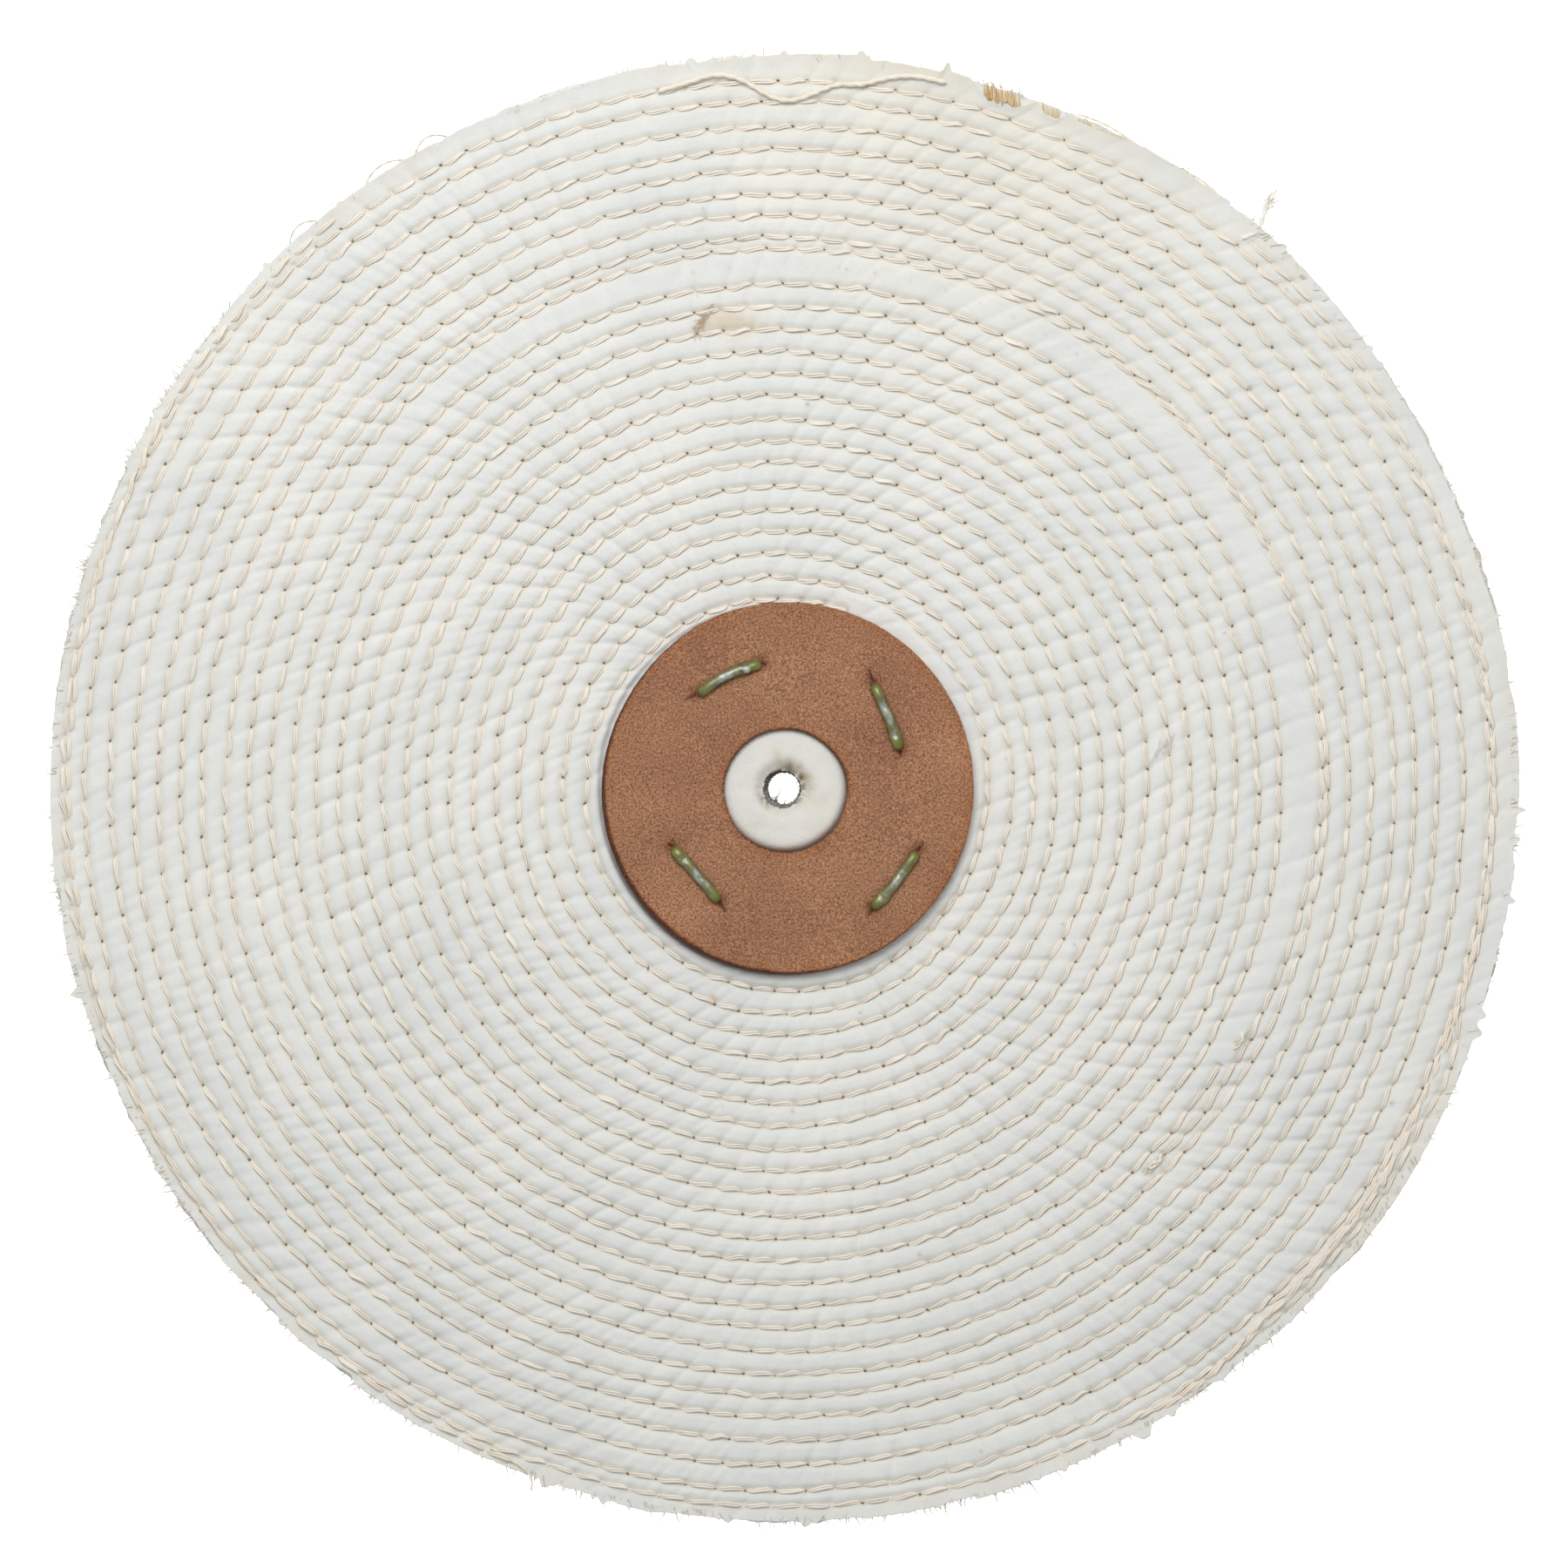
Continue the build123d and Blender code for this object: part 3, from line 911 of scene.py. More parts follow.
def leather_profile(low, high, hole, outer, bevel):
    """Radius and height of a washer's rings, from the foot of its hole over its top to its outer foot."""
    arc = np.linspace(0, math.pi / 2, 6)[:, None]
    shares = np.linspace(0, 1, 92)[1:-1, None]
    inner_end, outer_start = hole + HOLE_BEVEL, outer - bevel
    middle, deep = (low + high) / 2, bevel * 0.85
    one = np.ones(len(hole))
    radius = np.concatenate([
        np.stack([hole + 0.1 * MM, hole, hole]),
        hole + HOLE_BEVEL * (1 - np.cos(arc)),
        inner_end + (outer_start - inner_end) * shares,
        outer_start + bevel * np.sin(arc),
        np.stack([outer, outer, outer - 0.25 * MM]),
    ])
    height = np.concatenate([
        np.stack([low * one, (low + 0.2 * MM) * one, middle * one]),
        high - HOLE_BEVEL + HOLE_BEVEL * np.sin(arc) * one,
        high * one * np.ones_like(shares),
        high - deep + deep * np.cos(arc),
        np.stack([middle - 0.2 * deep, (low + 0.3 * MM) * one, low * one]),
    ])
    return radius, height


def leather_wear(x, y, radius, around, hole, outer, bevel, front, seed):
    """The tints painted on a washer, painted shade at its rim, hole, wire and splits among them, and how far
    its surface sinks under the wire and at the splits.
    """
    tint = np.ones(x.shape + (3,))
    sink = np.zeros_like(x)
    wear_and_light = towards(around, WORN_AND_SHADED_SIDE)
    rough = 0.65 + 0.5 * lattice_noise(x, y, 0.9 * MM, seed + 6)
    paint(tint, bell(outer - radius, 1.3 * MM) * 0.8 * rough, (0.97, 0.76, 0.50))
    paint(tint, bell(radius - hole, 1.1 * MM) * 0.8 * rough, (0.95, 0.73, 0.49))
    # the rim's bevel is painted dark brown, most at the lower left: part burnished edge, part painted shade
    fray = 0.10 * MM * lattice_noise(x, y, 0.5 * MM, seed + 7)
    burnish_and_shade = np.clip((radius - outer + bevel * (0.35 + 0.60 * wear_and_light) + fray) / (0.26 * MM), 0, 1)
    paint(tint, burnish_and_shade * (0.75 + 0.25 * wear_and_light), (0.25, 0.17, 0.14))
    # a thin dark line round the hole, strongest at the upper right: painted shade of the hole's edge
    paint(tint, bell(radius - hole, 0.26 * MM) * (0.25 + 0.7 * towards(around, 70)), (0.34, 0.24, 0.19))
    for place, size, strength in SMUDGES:
        paint(tint, centred_spot(x, y, place, size, 1.6, 20) * strength * rough, (0.66, 0.56, 0.50))
    for start, end, _, _ in STAPLE_LINES.values():
        distance, along = line_distance(x, y, start, end)
        ends = bell(np.minimum(along, 1 - along), 0.10)
        sink += 0.16 * MM * bell(distance, 0.95) + 0.34 * MM * ends * bell(distance, 1.1)
        # darker along each staple and most at its ends: painted shade round the wire and in its dents
        paint(tint, bell(distance, 0.85) * (0.35 + 0.45 * ends), (0.62, 0.50, 0.44))
        paint(tint, ends * bell(distance, 2.6) * 0.35 * rough, (0.74, 0.66, 0.66))
    for start, end in SLITS if front else ():
        distance, along = line_distance(x, y, start, end)
        cut = bell(distance, 0.15 - 0.08 * along)
        sink += 0.45 * MM * cut
        # the splits are painted dark: painted shade in the open cut, with a faint darker edge
        paint(tint, cut * 0.85, (0.34, 0.20, 0.16))
        paint(tint, bell(distance, 0.6) * 0.25, (0.68, 0.50, 0.44))
    return tint, sink


def leather_washer(name, node, front, material):
    """A punched leather ring: rounded rim, painted darker as burnish and shade, slightly ragged hole, dents
    and splits at the wire.
    """
    low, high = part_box(node)
    bottom, top = (low.z, high.z) if front else (-high.z, -low.z)
    facing = 1 if front else -1
    columns = 720
    around = whole_turn(columns)
    seed = SEED + (20 if front else 30)
    outer = LEATHER_RADIUS - 0.05 * MM + 0.45 * MM * np.cos(around) * facing
    outer -= 0.35 * MM * bell(around - math.radians(143), 0.45)
    outer += wave_noise(around, (3, 4, 6), seed, 0.05 * MM)
    outer += wave_noise(around, (29, 53, 81, 117), seed + 1, 0.025 * MM)
    wear_and_light = towards(around, WORN_AND_SHADED_SIDE)
    hole = LEATHER_HOLE + wave_noise(around, (3, 5, 7), seed + 2, 0.07 * MM)
    hole += wear_and_light * wave_noise(around, (23, 38, 57, 74, 101), seed + 3, 0.11 * MM)
    bevel = (0.22 + 0.62 * wear_and_light ** 2) * MM
    radius, height = leather_profile(bottom, top, hole, outer, bevel)
    points = polar(radius, around, height)
    shift = np.clip((outer - radius) / (outer - hole), 0, 1)
    points[..., 0] += HOLE_SHIFT[0] * shift
    points[..., 1] += HOLE_SHIFT[1] * shift * facing
    x, y = points[..., 0], points[..., 1]
    tint, sink = leather_wear(x, y, radius, around, hole, outer, bevel, front, seed)
    wavy = 0.09 * MM * lattice_noise(x, y, 6 * MM, seed + 4)
    wavy += 0.035 * MM * lattice_noise(x, y, 1.1 * MM, seed + 5)
    upper = np.clip((height - (bottom + top) / 2) / (0.4 * MM), 0, 1)
    points[..., 2] += (wavy - sink) * upper
    points[..., 2] *= facing
    quads = ring_faces(len(points), columns, joined=True, flip=front)
    piece = make_piece(name, points, quads, material)
    add_tint(piece, tint)
    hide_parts(node)


# ---------------------------------------------------------------- wire staples

def rounded(points, rounds):
    """Cuts the corners of a line of points several times over, keeping its two ends."""
    points = np.asarray(points, float)
    for _ in range(rounds):
        near = points[:-1] * 0.75 + points[1:] * 0.25
        far = points[:-1] * 0.25 + points[1:] * 0.75
        middle = np.stack([near, far], axis=1).reshape(-1, 3)
        points = np.concatenate([points[:1], middle, points[-1:]])
    return points


def section_frames(points):
    """Two unit vectors across a line at each point, carried along it without twisting."""
    tangent = np.gradient(points, axis=0)
    tangent /= np.linalg.norm(tangent, axis=1, keepdims=True)
    guess = np.array((0.0, 0.0, 1.0)) if abs(tangent[0, 2]) < 0.8 else np.array((1.0, 0.0, 0.0))
    across = np.zeros_like(points)
    for index, direction in enumerate(tangent):
        guess = guess - direction * guess.dot(direction)
        guess /= np.linalg.norm(guess)
        across[index] = guess
    return across, np.cross(tangent, across)


def tube(points, widths, heights, sides, lobe=0.0, twist=None):
    """One tube along a line of points, with a width and a height at each."""
    across, up = section_frames(points)
    twist = None if twist is None else twist[None]
    return tubes(points[None], across[None], up[None], widths[None], heights[None], sides, lobe, twist)


WIRE_RADIUS = 0.65  # of the staples, in millimetres


def wire_staple(node, material):
    """A dented wire staple: bowed crown in front, legs through the stack, tips bent in behind."""
    start, end, bow, dented = STAPLE_LINES[node]
    low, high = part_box(node)
    start, end = np.array(start), np.array(end)
    middle, span = (start + end) / 2, end - start
    length = np.linalg.norm(span)
    along, aside = span / length, np.array((-span[1], span[0])) / length
    reach = length / 2 - WIRE_RADIUS
    crown = high.z / MM - WIRE_RADIUS
    clinch = low.z / MM + WIRE_RADIUS
    random = np.random.default_rng(SEED + len(node))

    # the line as (along, aside, z) in millimetres: tip and leg, crown, leg and tip
    leg = [
        (0.9, -0.15, clinch - 0.05), (reach - 1.1, 0.1, clinch), (reach, 0, clinch + 0.1),
        (reach, 0, clinch + 1.2), (reach, 0, crown - 3.0), (reach, 0, crown - 0.9), (reach, 0, crown - 0.10),
    ]
    line = [(-s, -off, z) for s, off, z in leg]
    for s in np.linspace(-reach + 0.8, reach - 0.8, 9):
        off = bow * (1 - (s / reach) ** 2) + random.normal(0, 0.035)
        line.append((s, off, crown + 0.10 + random.normal(0, 0.03)))
    line = np.array(line + leg[::-1])
    flat = middle + line[:, :1] * along + line[:, 1:2] * aside
    points = rounded(np.column_stack([flat, line[:, 2]]), 3) * MM

    # dented and worn where pliers and fingers met it, thinner to its tips; its colours hold painted highlight
    # and painted shade
    place = (points[:, :2] / MM - middle) @ along
    near_crown = np.clip((points[:, 2] / MM - crown + 0.8) / 0.5, 0, 1)
    from_dent = place - dented * (reach - 1.5)
    dent = 0.36 * bell(from_dent, 0.55) * near_crown
    nick = 0.10 * bell(place - random.uniform(-1.5, 1.0), 0.35) * near_crown
    step = np.arange(len(points))
    taper = np.minimum(1, 0.35 + np.minimum(step, step[::-1]) / 4) * WIRE_RADIUS * MM
    sides = 16
    flattened = 1 + 0.18 * near_crown + 0.6 * dent
    verts, quads = tube(points, taper * (1 - dent - nick), taper * flattened, sides)
    piece = make_piece(node.replace("staple", "wire_staple"), verts, quads, material)
    close_ends(piece, sides)
    # grey painted on the top of the crown: part rubbed metal, part painted highlight along the wire's top
    rub_and_glare = (0.52 * bell(place + 0.5 * dented, 2.8) + 0.6 * bell(from_dent, 0.6)) * near_crown
    facing = (verts - np.repeat(points, sides, axis=0))[:, 2] / (WIRE_RADIUS * MM)
    add_value(piece, "wear_and_light", np.repeat(rub_and_glare, sides) * np.clip(1.25 * facing, 0, 1) ** 3)
    tips = np.clip((np.abs(place) - reach + 1.6) / 1.2, 0, 1) * near_crown
    tint = 1 + tips[:, None] * np.array((0.10, 0.22, -0.25))
    # the legs and the tips bent in behind are painted darker than the crown: painted shade
    tint *= 0.55 + 0.45 * near_crown[:, None]
    add_tint(piece, np.repeat(tint, sides, axis=0))
    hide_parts(node)


def close_ends(piece, sides):
    """Adds a face across each open end of a tube."""
    shape = bmesh.new()
    shape.from_mesh(piece.data)
    shape.verts.ensure_lookup_table()
    shape.faces.new(shape.verts[:sides])
    shape.faces.new(shape.verts[-sides:])
    bmesh.ops.recalc_face_normals(shape, faces=shape.faces)
    shape.to_mesh(piece.data)
    shape.free()


# ---------------------------------------------------------------- fibres and loose yarn

def fibres(name, base, direction, length, thickness, bend, material, tint, rings=4, sides=3):
    """Many tapered fibres at once, each a thin bent spike."""
    u = np.linspace(0, 1, rings)[None, :, None]
    reach = length[:, None, None]
    centres = base[:, None] + direction[:, None] * reach * u + bend[:, None] * reach * u ** 2
    direction = direction / np.linalg.norm(direction, axis=1, keepdims=True)
    side = np.cross(direction, np.array((0.0, 0.0, 1.0)))
    side /= np.maximum(np.linalg.norm(side, axis=1, keepdims=True), 1e-9)
    up = np.cross(side, direction)
    shape = centres.shape
    width = thickness[:, None] * (1 - 0.75 * u[..., 0] ** 2)
    points, quads = tubes(centres, np.broadcast_to(side[:, None], shape), np.broadcast_to(up[:, None], shape),
                          width, width, sides)
    piece = make_piece(name, points, quads, material)
    add_tint(piece, np.repeat(np.broadcast_to(tint, (len(base), 3)), rings * sides, axis=0))
    return piece


def directions(random, angle, spread, climb, rise=0.0):
    """Directions near an angle in plan, turned at random by a spread and raised or lowered by a climb."""
    turned = angle + random.normal(0, spread, len(angle))
    return polar(1, turned, random.normal(rise, climb, len(angle)))


def scattered(random, count, start, run, z, spread):
    """Places scattered about a straight line on the face, in metres; all that's given is millimetres."""
    share = random.uniform(0, 1, count)
    base = np.stack([start[0] + run[0] * share, start[1] + run[1] * share, np.full(count, z)], axis=-1)
    base[:, :2] += random.normal(0, spread, (count, 2))
    return base * MM


def short_fibres(name, random, base, direction, lengths, thicknesses, bend, material, tint):
    """Fibres of random length and thickness, between limits in millimetres, bent at random."""
    count = len(base)
    length = random.uniform(*lengths, count) * MM
    thickness = random.uniform(*thicknesses, count) * MM
    fibres(name, base, direction, length, thickness, random.normal(0, bend, (count, 3)), material, tint)


def tufted_angles(random, count, waves, seed):
    """Angles round the rim, denser in some places than in others."""
    angle = random.uniform(0, 2 * math.pi, count * 3)
    density = 0.5 + 0.35 * wave_noise(angle, waves, seed)
    return angle[random.uniform(0, 1, len(angle)) < density][:count]


def rim_fuzz(material):
    """Fine fibres that stand off the cut edges of all plies."""
    random = np.random.default_rng(SEED + 40)
    angle = tufted_angles(random, 5200, (5, 9, 17, 33, 61), SEED + 41)
    count = len(angle)
    half = FACE_Z * 1.08
    z = random.uniform(-half, half, count)
    upper = random.uniform(0, 1, count) < 0.3
    z = np.where(upper, random.uniform(0.6 * half, half, count), z)
    radius = edge_radius(angle, WHEEL_RADIUS, SEED + 60) - random.uniform(0.1, 0.9, count) * MM
    base = polar(radius, angle, z)
    direction = directions(random, angle, 0.75, 0.45)
    length = np.clip(random.exponential(0.55, count), 0.2, 2.6) * MM
    bend = random.normal(0, 0.45, (count, 3))
    thickness = random.uniform(0.018, 0.038, count) * MM
    tint = random.uniform(0.68, 0.92, (count, 1)) * np.array((1.0, 0.985, 0.93))
    fibres("rim_fuzz", base, direction, length, thickness, bend, material, tint)


def yarn_ends(material):
    """Cut ends of warp and weft that stick out of the rim along each ply's weave."""
    random = np.random.default_rng(SEED + 50)
    angle = tufted_angles(random, 3400, (3, 7, 13, 29, 53), SEED + 51)
    count = len(angle)
    ply = random.integers(0, len(PLIES), count)
    ply = np.where(random.uniform(0, 1, count) < 0.25, 0, ply)
    z = (FACE_Z - (ply + 0.5) * PLY_THICKNESS) * 1.06
    weave = np.random.default_rng(SEED + 52).uniform(0, math.pi / 2, len(PLIES))[ply]
    quarter = np.rint((angle - weave) / (math.pi / 2)) * math.pi / 2 + weave
    direction = directions(random, quarter, 0.18, 0.22)
    radius = edge_radius(angle, WHEEL_RADIUS, SEED) - random.uniform(0.35, 0.75, count) * MM
    length = np.clip(random.exponential(0.55, count) + 0.45, 0.3, 2.3) * MM
    bend = random.normal(0, 0.20, (count, 3))
    thickness = random.uniform(0.07, 0.12, count) * MM
    tint = random.uniform(0.74, 0.95, (count, 1)) * np.array((1.0, 0.975, 0.91))
    base = polar(radius, angle, z)
    fibres("rim_yarn_ends", base, direction, length, thickness, bend, material, tint, sides=4)


def bore_fuzz(material):
    """Soiled yarn ends and fibres round the punched spindle hole."""
    random = np.random.default_rng(SEED + 70)
    count = 900
    tuft = random.uniform(0, 1, count) < 0.10
    at_tuft = math.radians(236) + random.normal(0, 0.07, count)
    angle = np.where(tuft, at_tuft, random.uniform(0, 2 * math.pi, count))
    z = random.uniform(-FACE_Z, FACE_Z + 0.1 * MM, count)
    radius = BORE_RADIUS + random.uniform(-0.60, 0.10, count) * MM
    direction = directions(random, angle + math.pi, np.where(tuft, 0.21, 0.7), 0.35, rise=0.1)
    length = np.clip(random.exponential(0.24, count), 0.1, 0.75) * np.where(tuft, 1.8, 1.0) * MM
    bend = random.normal(0, 0.4, (count, 3))
    thickness = random.uniform(0.02, 0.075, count) * MM
    tint = random.uniform(0.6, 1.2, (count, 1)) * np.array((0.20, 0.17, 0.13))
    base = polar(radius, angle, z)
    fibres("bore_fuzz", base, direction, length, thickness, bend, material, tint, sides=4)


YARN_TWIST = 1.6 * MM  # length in which a yarn's two strands change places
YARN_SIDES = 8


def yarn(name, route, thickness, material, tint=(1, 1, 1), rounds=3):
    """A two-strand yarn along a route in millimetres."""
    points = rounded(route, rounds) * MM
    steps = np.linalg.norm(np.diff(points, axis=0), axis=1)
    travelled = np.concatenate([[0], np.cumsum(steps)])
    width = np.full(len(points), thickness * MM)
    width[[0, -1]] *= 0.6
    verts, quads = tube(points, width, width, YARN_SIDES, 0.22, travelled / YARN_TWIST * math.pi)
    piece = make_piece(name, verts, quads, material)
    close_ends(piece, YARN_SIDES)
    add_tint(piece, np.broadcast_to(tint, (len(verts), 3)))
    return piece


# The loose thread: the route's points from its left end to its right end, in millimetres
LOOSE_ROUTE = (
    (-17.4, 96.2), (-13.5, 97.3), (-9.5, 98.7), (-5.8, 97.9), (-3.4, 96.3), (-0.8, 95.0), (1.6, 94.9),
    (4.7, 96.2), (7.5, 97.3), (10.5, 97.0), (14.6, 98.2), (18.6, 98.4), (22.4, 97.4),
)
LOOSE_DIAMETER = 0.66 * MM


def loose_thread(material):
    """The loose end of sewing thread across the outer rows, a two-strand yarn on one smooth line."""
    low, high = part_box("loose_thread")
    z = (low.z + high.z) / 2
    data = bpy.data.curves.new("loose_line", "CURVE")
    data.dimensions = "3D"
    spline = data.splines.new("NURBS")
    spline.points.add(len(LOOSE_ROUTE) - 1)
    for point, (x, y) in zip(spline.points, LOOSE_ROUTE):
        point.co = (x * MM, y * MM, z, 1.0)
    spline.order_u = 3
    spline.use_endpoint_u = True
    spline.resolution_u = 14
    guide = bpy.data.objects.new("loose_line", data)
    bpy.context.scene.collection.objects.link(guide)
    line = bpy.data.meshes.new_from_object(guide.evaluated_get(bpy.context.evaluated_depsgraph_get()))
    points = np.array([vertex.co for vertex in line.vertices])
    bpy.data.meshes.remove(line)
    bpy.data.objects.remove(guide)
    bpy.data.curves.remove(data)
    piece = yarn("loose_thread_yarn", points / MM, LOOSE_DIAMETER / MM / 2, material, rounds=0,
                 tint=(0.93, 0.925, 0.875))
    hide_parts("loose_thread")


RIM_LOOPS = ((132.6, 129.1, 1.15), (125.2, 120.7, 0.95), (120.4, 117.1, 1.05))  # degrees from and to, bulge
LOOP_ROOT = 0.7  # millimetres inside the rim


def rim_loops(material):
    """Pulled yarns that stand off the rim in low loops at the upper left."""
    share = np.linspace(0, 1, 7)
    z = FACE_Z / MM + 0.2 + 0.15 * np.sin(5 * share)
    for index, (first, last, bulge) in enumerate(RIM_LOOPS):
        radius = WHEEL_RADIUS / MM - LOOP_ROOT + (bulge + LOOP_ROOT) * np.sin(math.pi * share) ** 0.8
        route = polar(radius, np.radians(first + (last - first) * share), z)
        yarn(f"rim_loop_{index + 1}", route, 0.13, material, (0.80, 0.74, 0.62))


def stray_end(material):
    """The cut end of the doubled row at the lower left, standing just off the rim."""
    turn = np.radians((246.0, 247.8, 249.4, 250.0, 250.2))
    route = polar(np.array((99.6, 100.0, 100.6, 101.6, 103.0)), turn, FACE_Z / MM + 0.45)
    yarn("stray_end_yarn", route, 0.17, material, (0.95, 0.92, 0.84))


def frayed_tail(material):
    """A thread end that stands off the rim at the upper right and splays at its tip."""
    z = FACE_Z / MM - 0.4
    white = (0.97, 0.97, 0.95)
    tail = [(63.2, 76.0, z + 0.6), (65.4, 76.6, z + 0.5), (66.3, 79.2, z), (66.7, 81.4, z - 0.2)]
    root = [(65.2, 76.4, z + 0.5), (67.4, 75.6, z + 0.3), (69.4, 73.9, z + 0.2), (70.9, 71.9, z)]
    yarn("tail_yarn", tail, 0.33, material, white)
    yarn("tail_root_yarn", root, 0.20, material, white)
    random = np.random.default_rng(SEED + 80)
    count = 42
    base = scattered(random, count, (66.2, 79.0), (0.5, 2.4), z, 0.16)
    direction = directions(random, np.full(count, math.radians(52)), 0.30, 0.15)
    length = random.uniform(1.2, 3.9, count) * MM
    bend = random.normal(0, 0.16, (count, 3))
    thickness = random.uniform(0.03, 0.10, count) * MM
    tint = np.array((0.98, 0.98, 0.96))
    fibres("tail_fibres", base, direction, length, thickness, bend, material, tint, rings=6, sides=4)


FRINGES = (  # where the front ply is torn back: first and last degrees, yarns, length in millimetres, colour
    (73.8, 72.3, 17, 2.1, (0.90, 0.60, 0.28)),
    (72.3, 70.9, 15, 2.0, (0.93, 0.72, 0.42)),
    (69.1, 67.7, 14, 1.5, (0.96, 0.84, 0.60)),
    (66.8, 62.4, 36, 0.9, (0.97, 0.88, 0.68)),
)


def yellow_fringe(material):
    """Unbleached yarns of an inner ply, bare where the front ply is torn back at the top right."""
    random = np.random.default_rng(SEED + 90)
    for index, (first, last, count, reach, colour) in enumerate(FRINGES):
        angle = np.radians(np.linspace(first, last, count) + random.normal(0, 0.02, count))
        length = random.uniform(0.85, 1.12, count) * reach * MM
        tip = WHEEL_RADIUS + random.normal(-0.15, 0.15, count) * MM
        base = polar(tip - length, angle, FACE_Z + random.uniform(0.02, 0.14, count) * MM)
        direction = directions(random, np.full(count, math.radians(90)), 0.07, 0.04)
        bend = random.normal(0, 0.05, (count, 3))
        thickness = random.uniform(0.09, 0.13, count) * MM
        tint = random.uniform(0.72, 1.0, (count, 1)) * np.array(colour)
        fibres(f"bare_yarns_{index + 1}", base, direction, length, thickness, bend, material, tint, sides=5)
    share = np.linspace(0, 1, 12)
    radius = WHEEL_RADIUS / MM + 0.05 + 0.30 * np.sin(9 * share)
    route = polar(radius, np.radians(66.5 - 12.5 * share), FACE_Z / MM + 0.20)
    yarn("edge_yarn", route, 0.16, material, (0.98, 0.92, 0.76))


def brown_streak(material):
    """A brown vegetable fibre caught in the cloth beside the tan patch."""
    random = np.random.default_rng(SEED + 95)
    count = 60
    base = scattered(random, count, (-10.0, 66.5), (-2.3, -3.8), FACE_Z / MM + 0.42, 0.32)
    direction = directions(random, np.full(count, math.radians(238)), 0.6, 0.10, rise=0.05)
    tint = random.uniform(0.75, 1.0, (count, 1)) * np.array((0.86, 0.72, 0.56))
    short_fibres("brown_streak", random, base, direction, (0.5, 1.4), (0.025, 0.07), 0.2, material, tint)


def blue_fibre(material):
    """A stray bluish-white fibre on the right of the face."""
    random = np.random.default_rng(SEED + 96)
    count = 26
    base = scattered(random, count, (50.0, 2.6), (3.4, 4.6), FACE_Z / MM + 0.50, 0.25)
    direction = directions(random, np.full(count, math.radians(52)), 0.35, 0.06, rise=0.03)
    tint = np.array((0.97, 1.0, 1.12))
    short_fibres("blue_fibre", random, base, direction, (0.8, 2.2), (0.02, 0.05), 0.2, material, tint)


def thread_knot(name, degrees, radius, seed, material):
    """A small fuzzy knot where a spiral of stitching begins or ends."""
    random = np.random.default_rng(seed)
    turn = math.radians(degrees)
    centre = polar(radius, turn, FACE_Z / MM + 0.42)
    along = np.array((-math.sin(turn), math.cos(turn), 0.0))
    route = []
    for step in range(16):
        coil = step * 0.86
        offset = along * 1.1 * math.sin(0.5 * coil) + polar(0.30, coil, 0.14 * math.sin(1.4 * coil))
        route.append(centre + offset + random.normal(0, 0.04, 3))
    yarn(name, route, 0.17, material, (1.06, 1.03, 0.96))
    count = 50
    turned = random.uniform(0, 2 * math.pi, count)
    direction = polar(1, turned, random.uniform(0.0, 0.5, count))
    base = (centre + along * random.normal(0, 0.9, (count, 1)) + random.normal(0, 0.22, (count, 3))) * MM
    base[:, 2] = FACE_Z + random.uniform(0.25, 0.65, count) * MM
    tint = np.array((1.0, 0.985, 0.93))
    name += "_fibres"
    short_fibres(name, random, base, direction, (0.5, 1.4), (0.02, 0.05), 0.4, material, tint)


# ---------------------------------------------------------------- floor, light and camera

PICTURE_WIDTH = 216.5 * MM
PICTURE_RISE = 0.6 * MM  # how far the picture's centre is above the wheel's centre
CAMERA_DISTANCE = 1.4
SENSOR = 36.0
FLOOR_REACH = 3.0
WORLD_STRENGTH = 0.465


def add_camera():
    data = bpy.data.cameras.new("view_from_above")
    data.sensor_width = SENSOR
    data.lens = SENSOR * CAMERA_DISTANCE / PICTURE_WIDTH
    camera = bpy.data.objects.new("view_from_above", data)
    camera.location = (0, PICTURE_RISE, FACE_Z + CAMERA_DISTANCE)
    bpy.context.scene.collection.objects.link(camera)
    bpy.context.scene.camera = camera


def add_floor():
    z = CAD_BOX[0].z - 0.02 * MM
    corners = [(x * FLOOR_REACH, y * FLOOR_REACH, z) for x, y in ((-1, -1), (1, -1), (1, 1), (-1, 1))]
    mesh = bpy.data.meshes.new("pale_floor")
    mesh.from_pydata(corners, [], [(0, 1, 2, 3)])
    mesh.materials.append(floor_material())
    floor = bpy.data.objects.new("pale_floor", mesh)
    bpy.context.scene.collection.objects.link(floor)


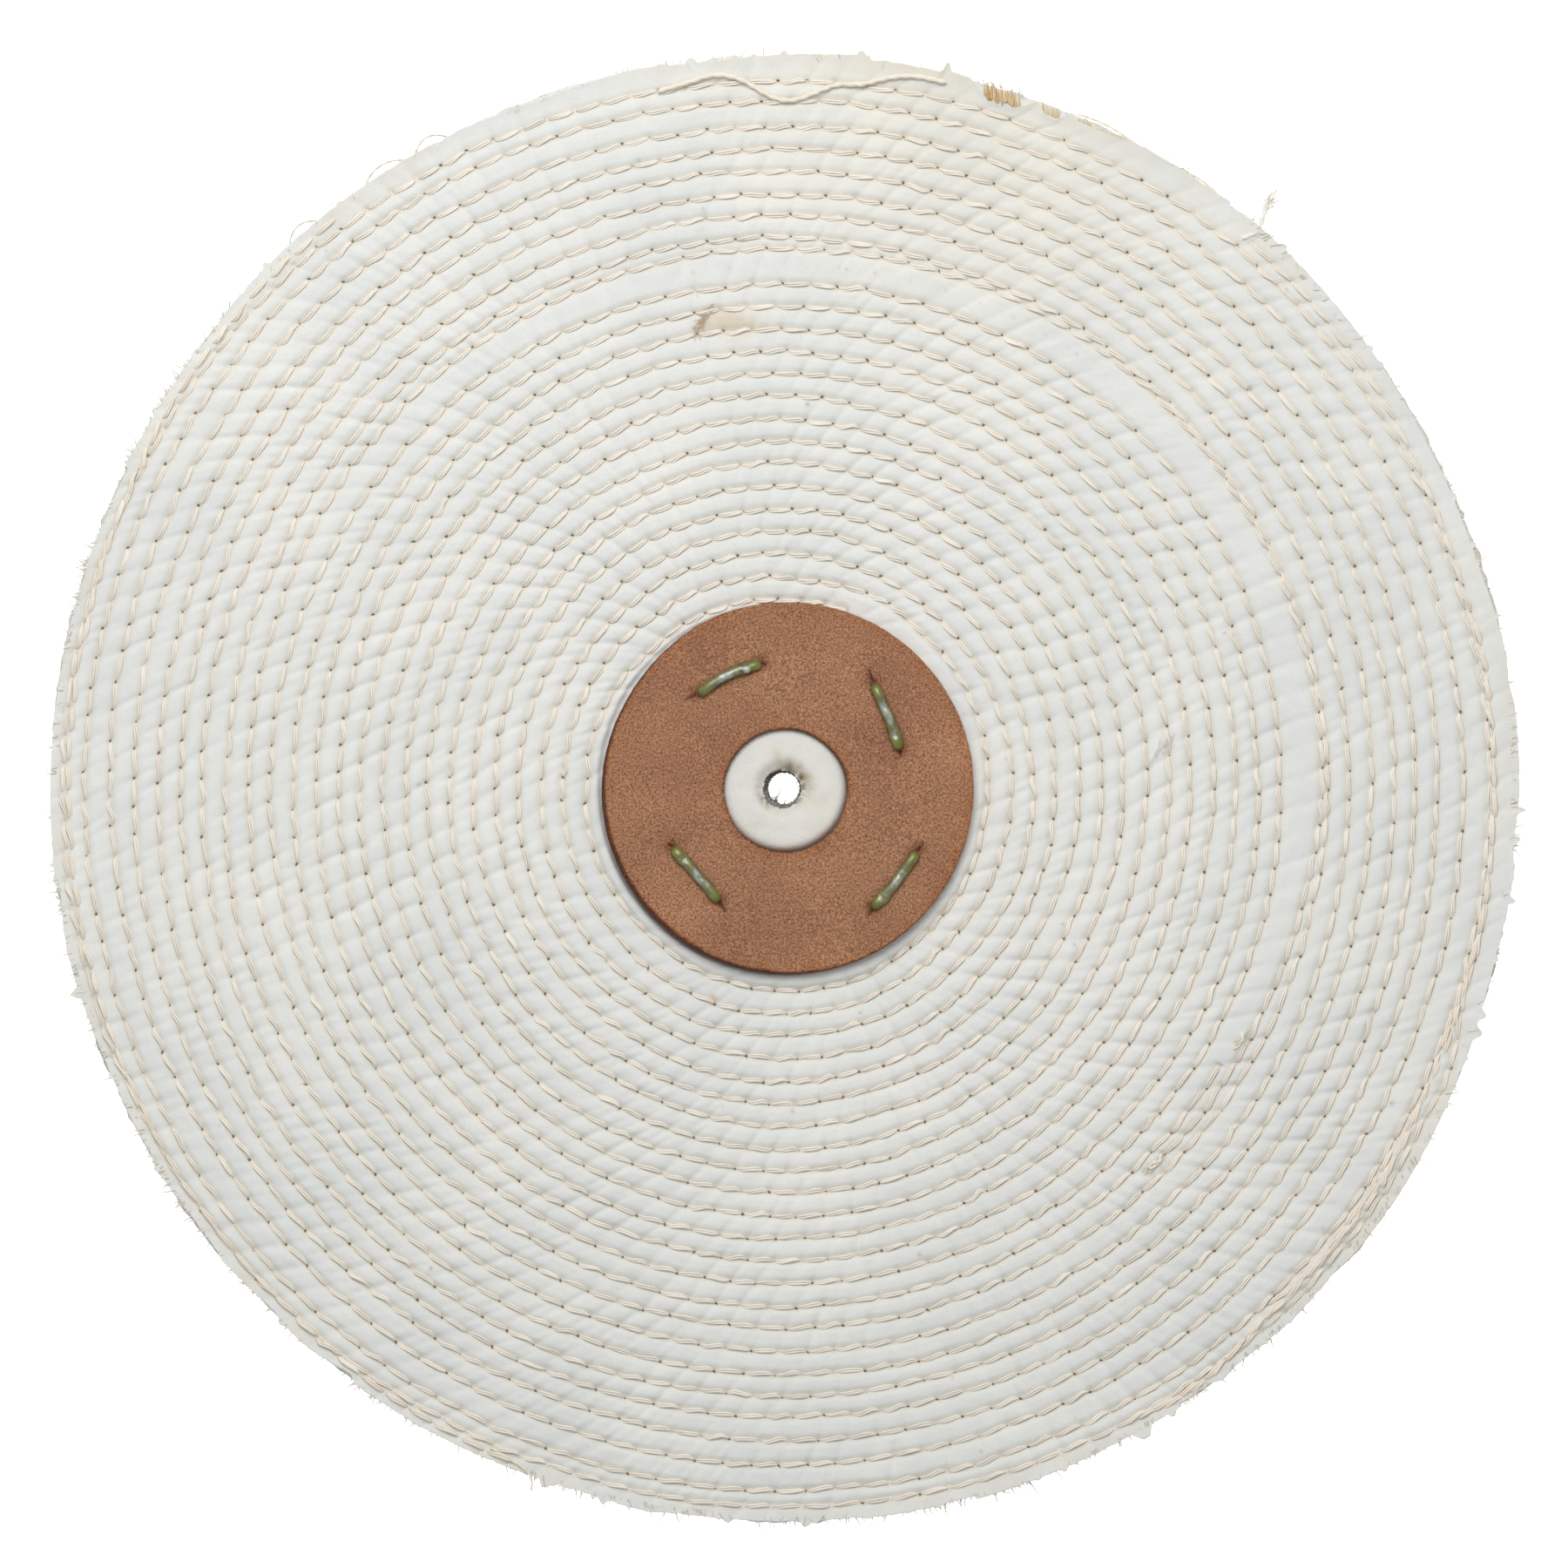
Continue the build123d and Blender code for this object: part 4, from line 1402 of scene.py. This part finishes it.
def add_light(name, place, size, power):
    data = bpy.data.lights.new(name, "AREA")
    data.shape = "DISK"
    data.size = size
    data.energy = power
    lamp = bpy.data.objects.new(name, data)
    lamp.location = place
    lamp.rotation_mode = "QUATERNION"
    lamp.rotation_quaternion = (-Vector(place)).to_track_quat("-Z", "Y")
    bpy.context.scene.collection.objects.link(lamp)


def add_lights():
    world = bpy.data.worlds.new("soft_studio")
    world.use_nodes = True
    background = world.node_tree.nodes["Background"]
    background.inputs["Color"].default_value = (1.0, 1.0, 1.0, 1.0)
    background.inputs["Strength"].default_value = WORLD_STRENGTH
    bpy.context.scene.world = world
    add_light("key_softbox", (-0.05, 0.32, 0.52), 0.42, 2.40)
    bpy.context.scene.view_settings.view_transform = "Standard"


# ---------------------------------------------------------------- the wheel

add_camera()
add_floor()
add_lights()
CLOTH = cloth_material()
THREAD = thread_material("cream_thread", (0.960, 0.900, 0.815), (0.915, 0.842, 0.748))
YARN = thread_material("loose_yarn", (0.93, 0.91, 0.85), (0.85, 0.82, 0.75))
LEATHER = leather_material()
WIRE = wire_material()

loose_thread(THREAD)
cloth_face("quilted_ply_front", PLIES[0], 2048, 0.27 * MM, True, SEED + 200, CLOTH)
cloth_face("quilted_ply_back", PLIES[-1], 1024, 0.50 * MM, False, SEED + 300, CLOTH)
for index in range(1, len(PLIES) - 1):
    inner_ply(index, CLOTH)
for side, front in (("needle", True), ("bobbin", False)):
    for part, line in zip(("inner", "outer"), SEWING):
        sides = 5 if front else 4
        stitches(f"{side}_stitches_{part}", [f"{side}_thread_{part}"], line, front, THREAD, sides, SEED + 400)
over_sewing(THREAD)
leather_washer("leather_ring_front", "leather_washer_front", True, LEATHER)
leather_washer("leather_ring_back", "leather_washer_back", False, LEATHER)
for node_name in STAPLE_LINES:
    wire_staple(node_name, WIRE)
rim_fuzz(YARN)
yarn_ends(YARN)
bore_fuzz(YARN)
rim_loops(YARN)
stray_end(YARN)
frayed_tail(YARN)
yellow_fringe(YARN)
brown_streak(YARN)
blue_fibre(YARN)
thread_knot("thread_knot_start", 315.0, 72.8, SEED + 91, YARN)
thread_knot("thread_knot_end", 331.0, 71.9, SEED + 92, YARN)
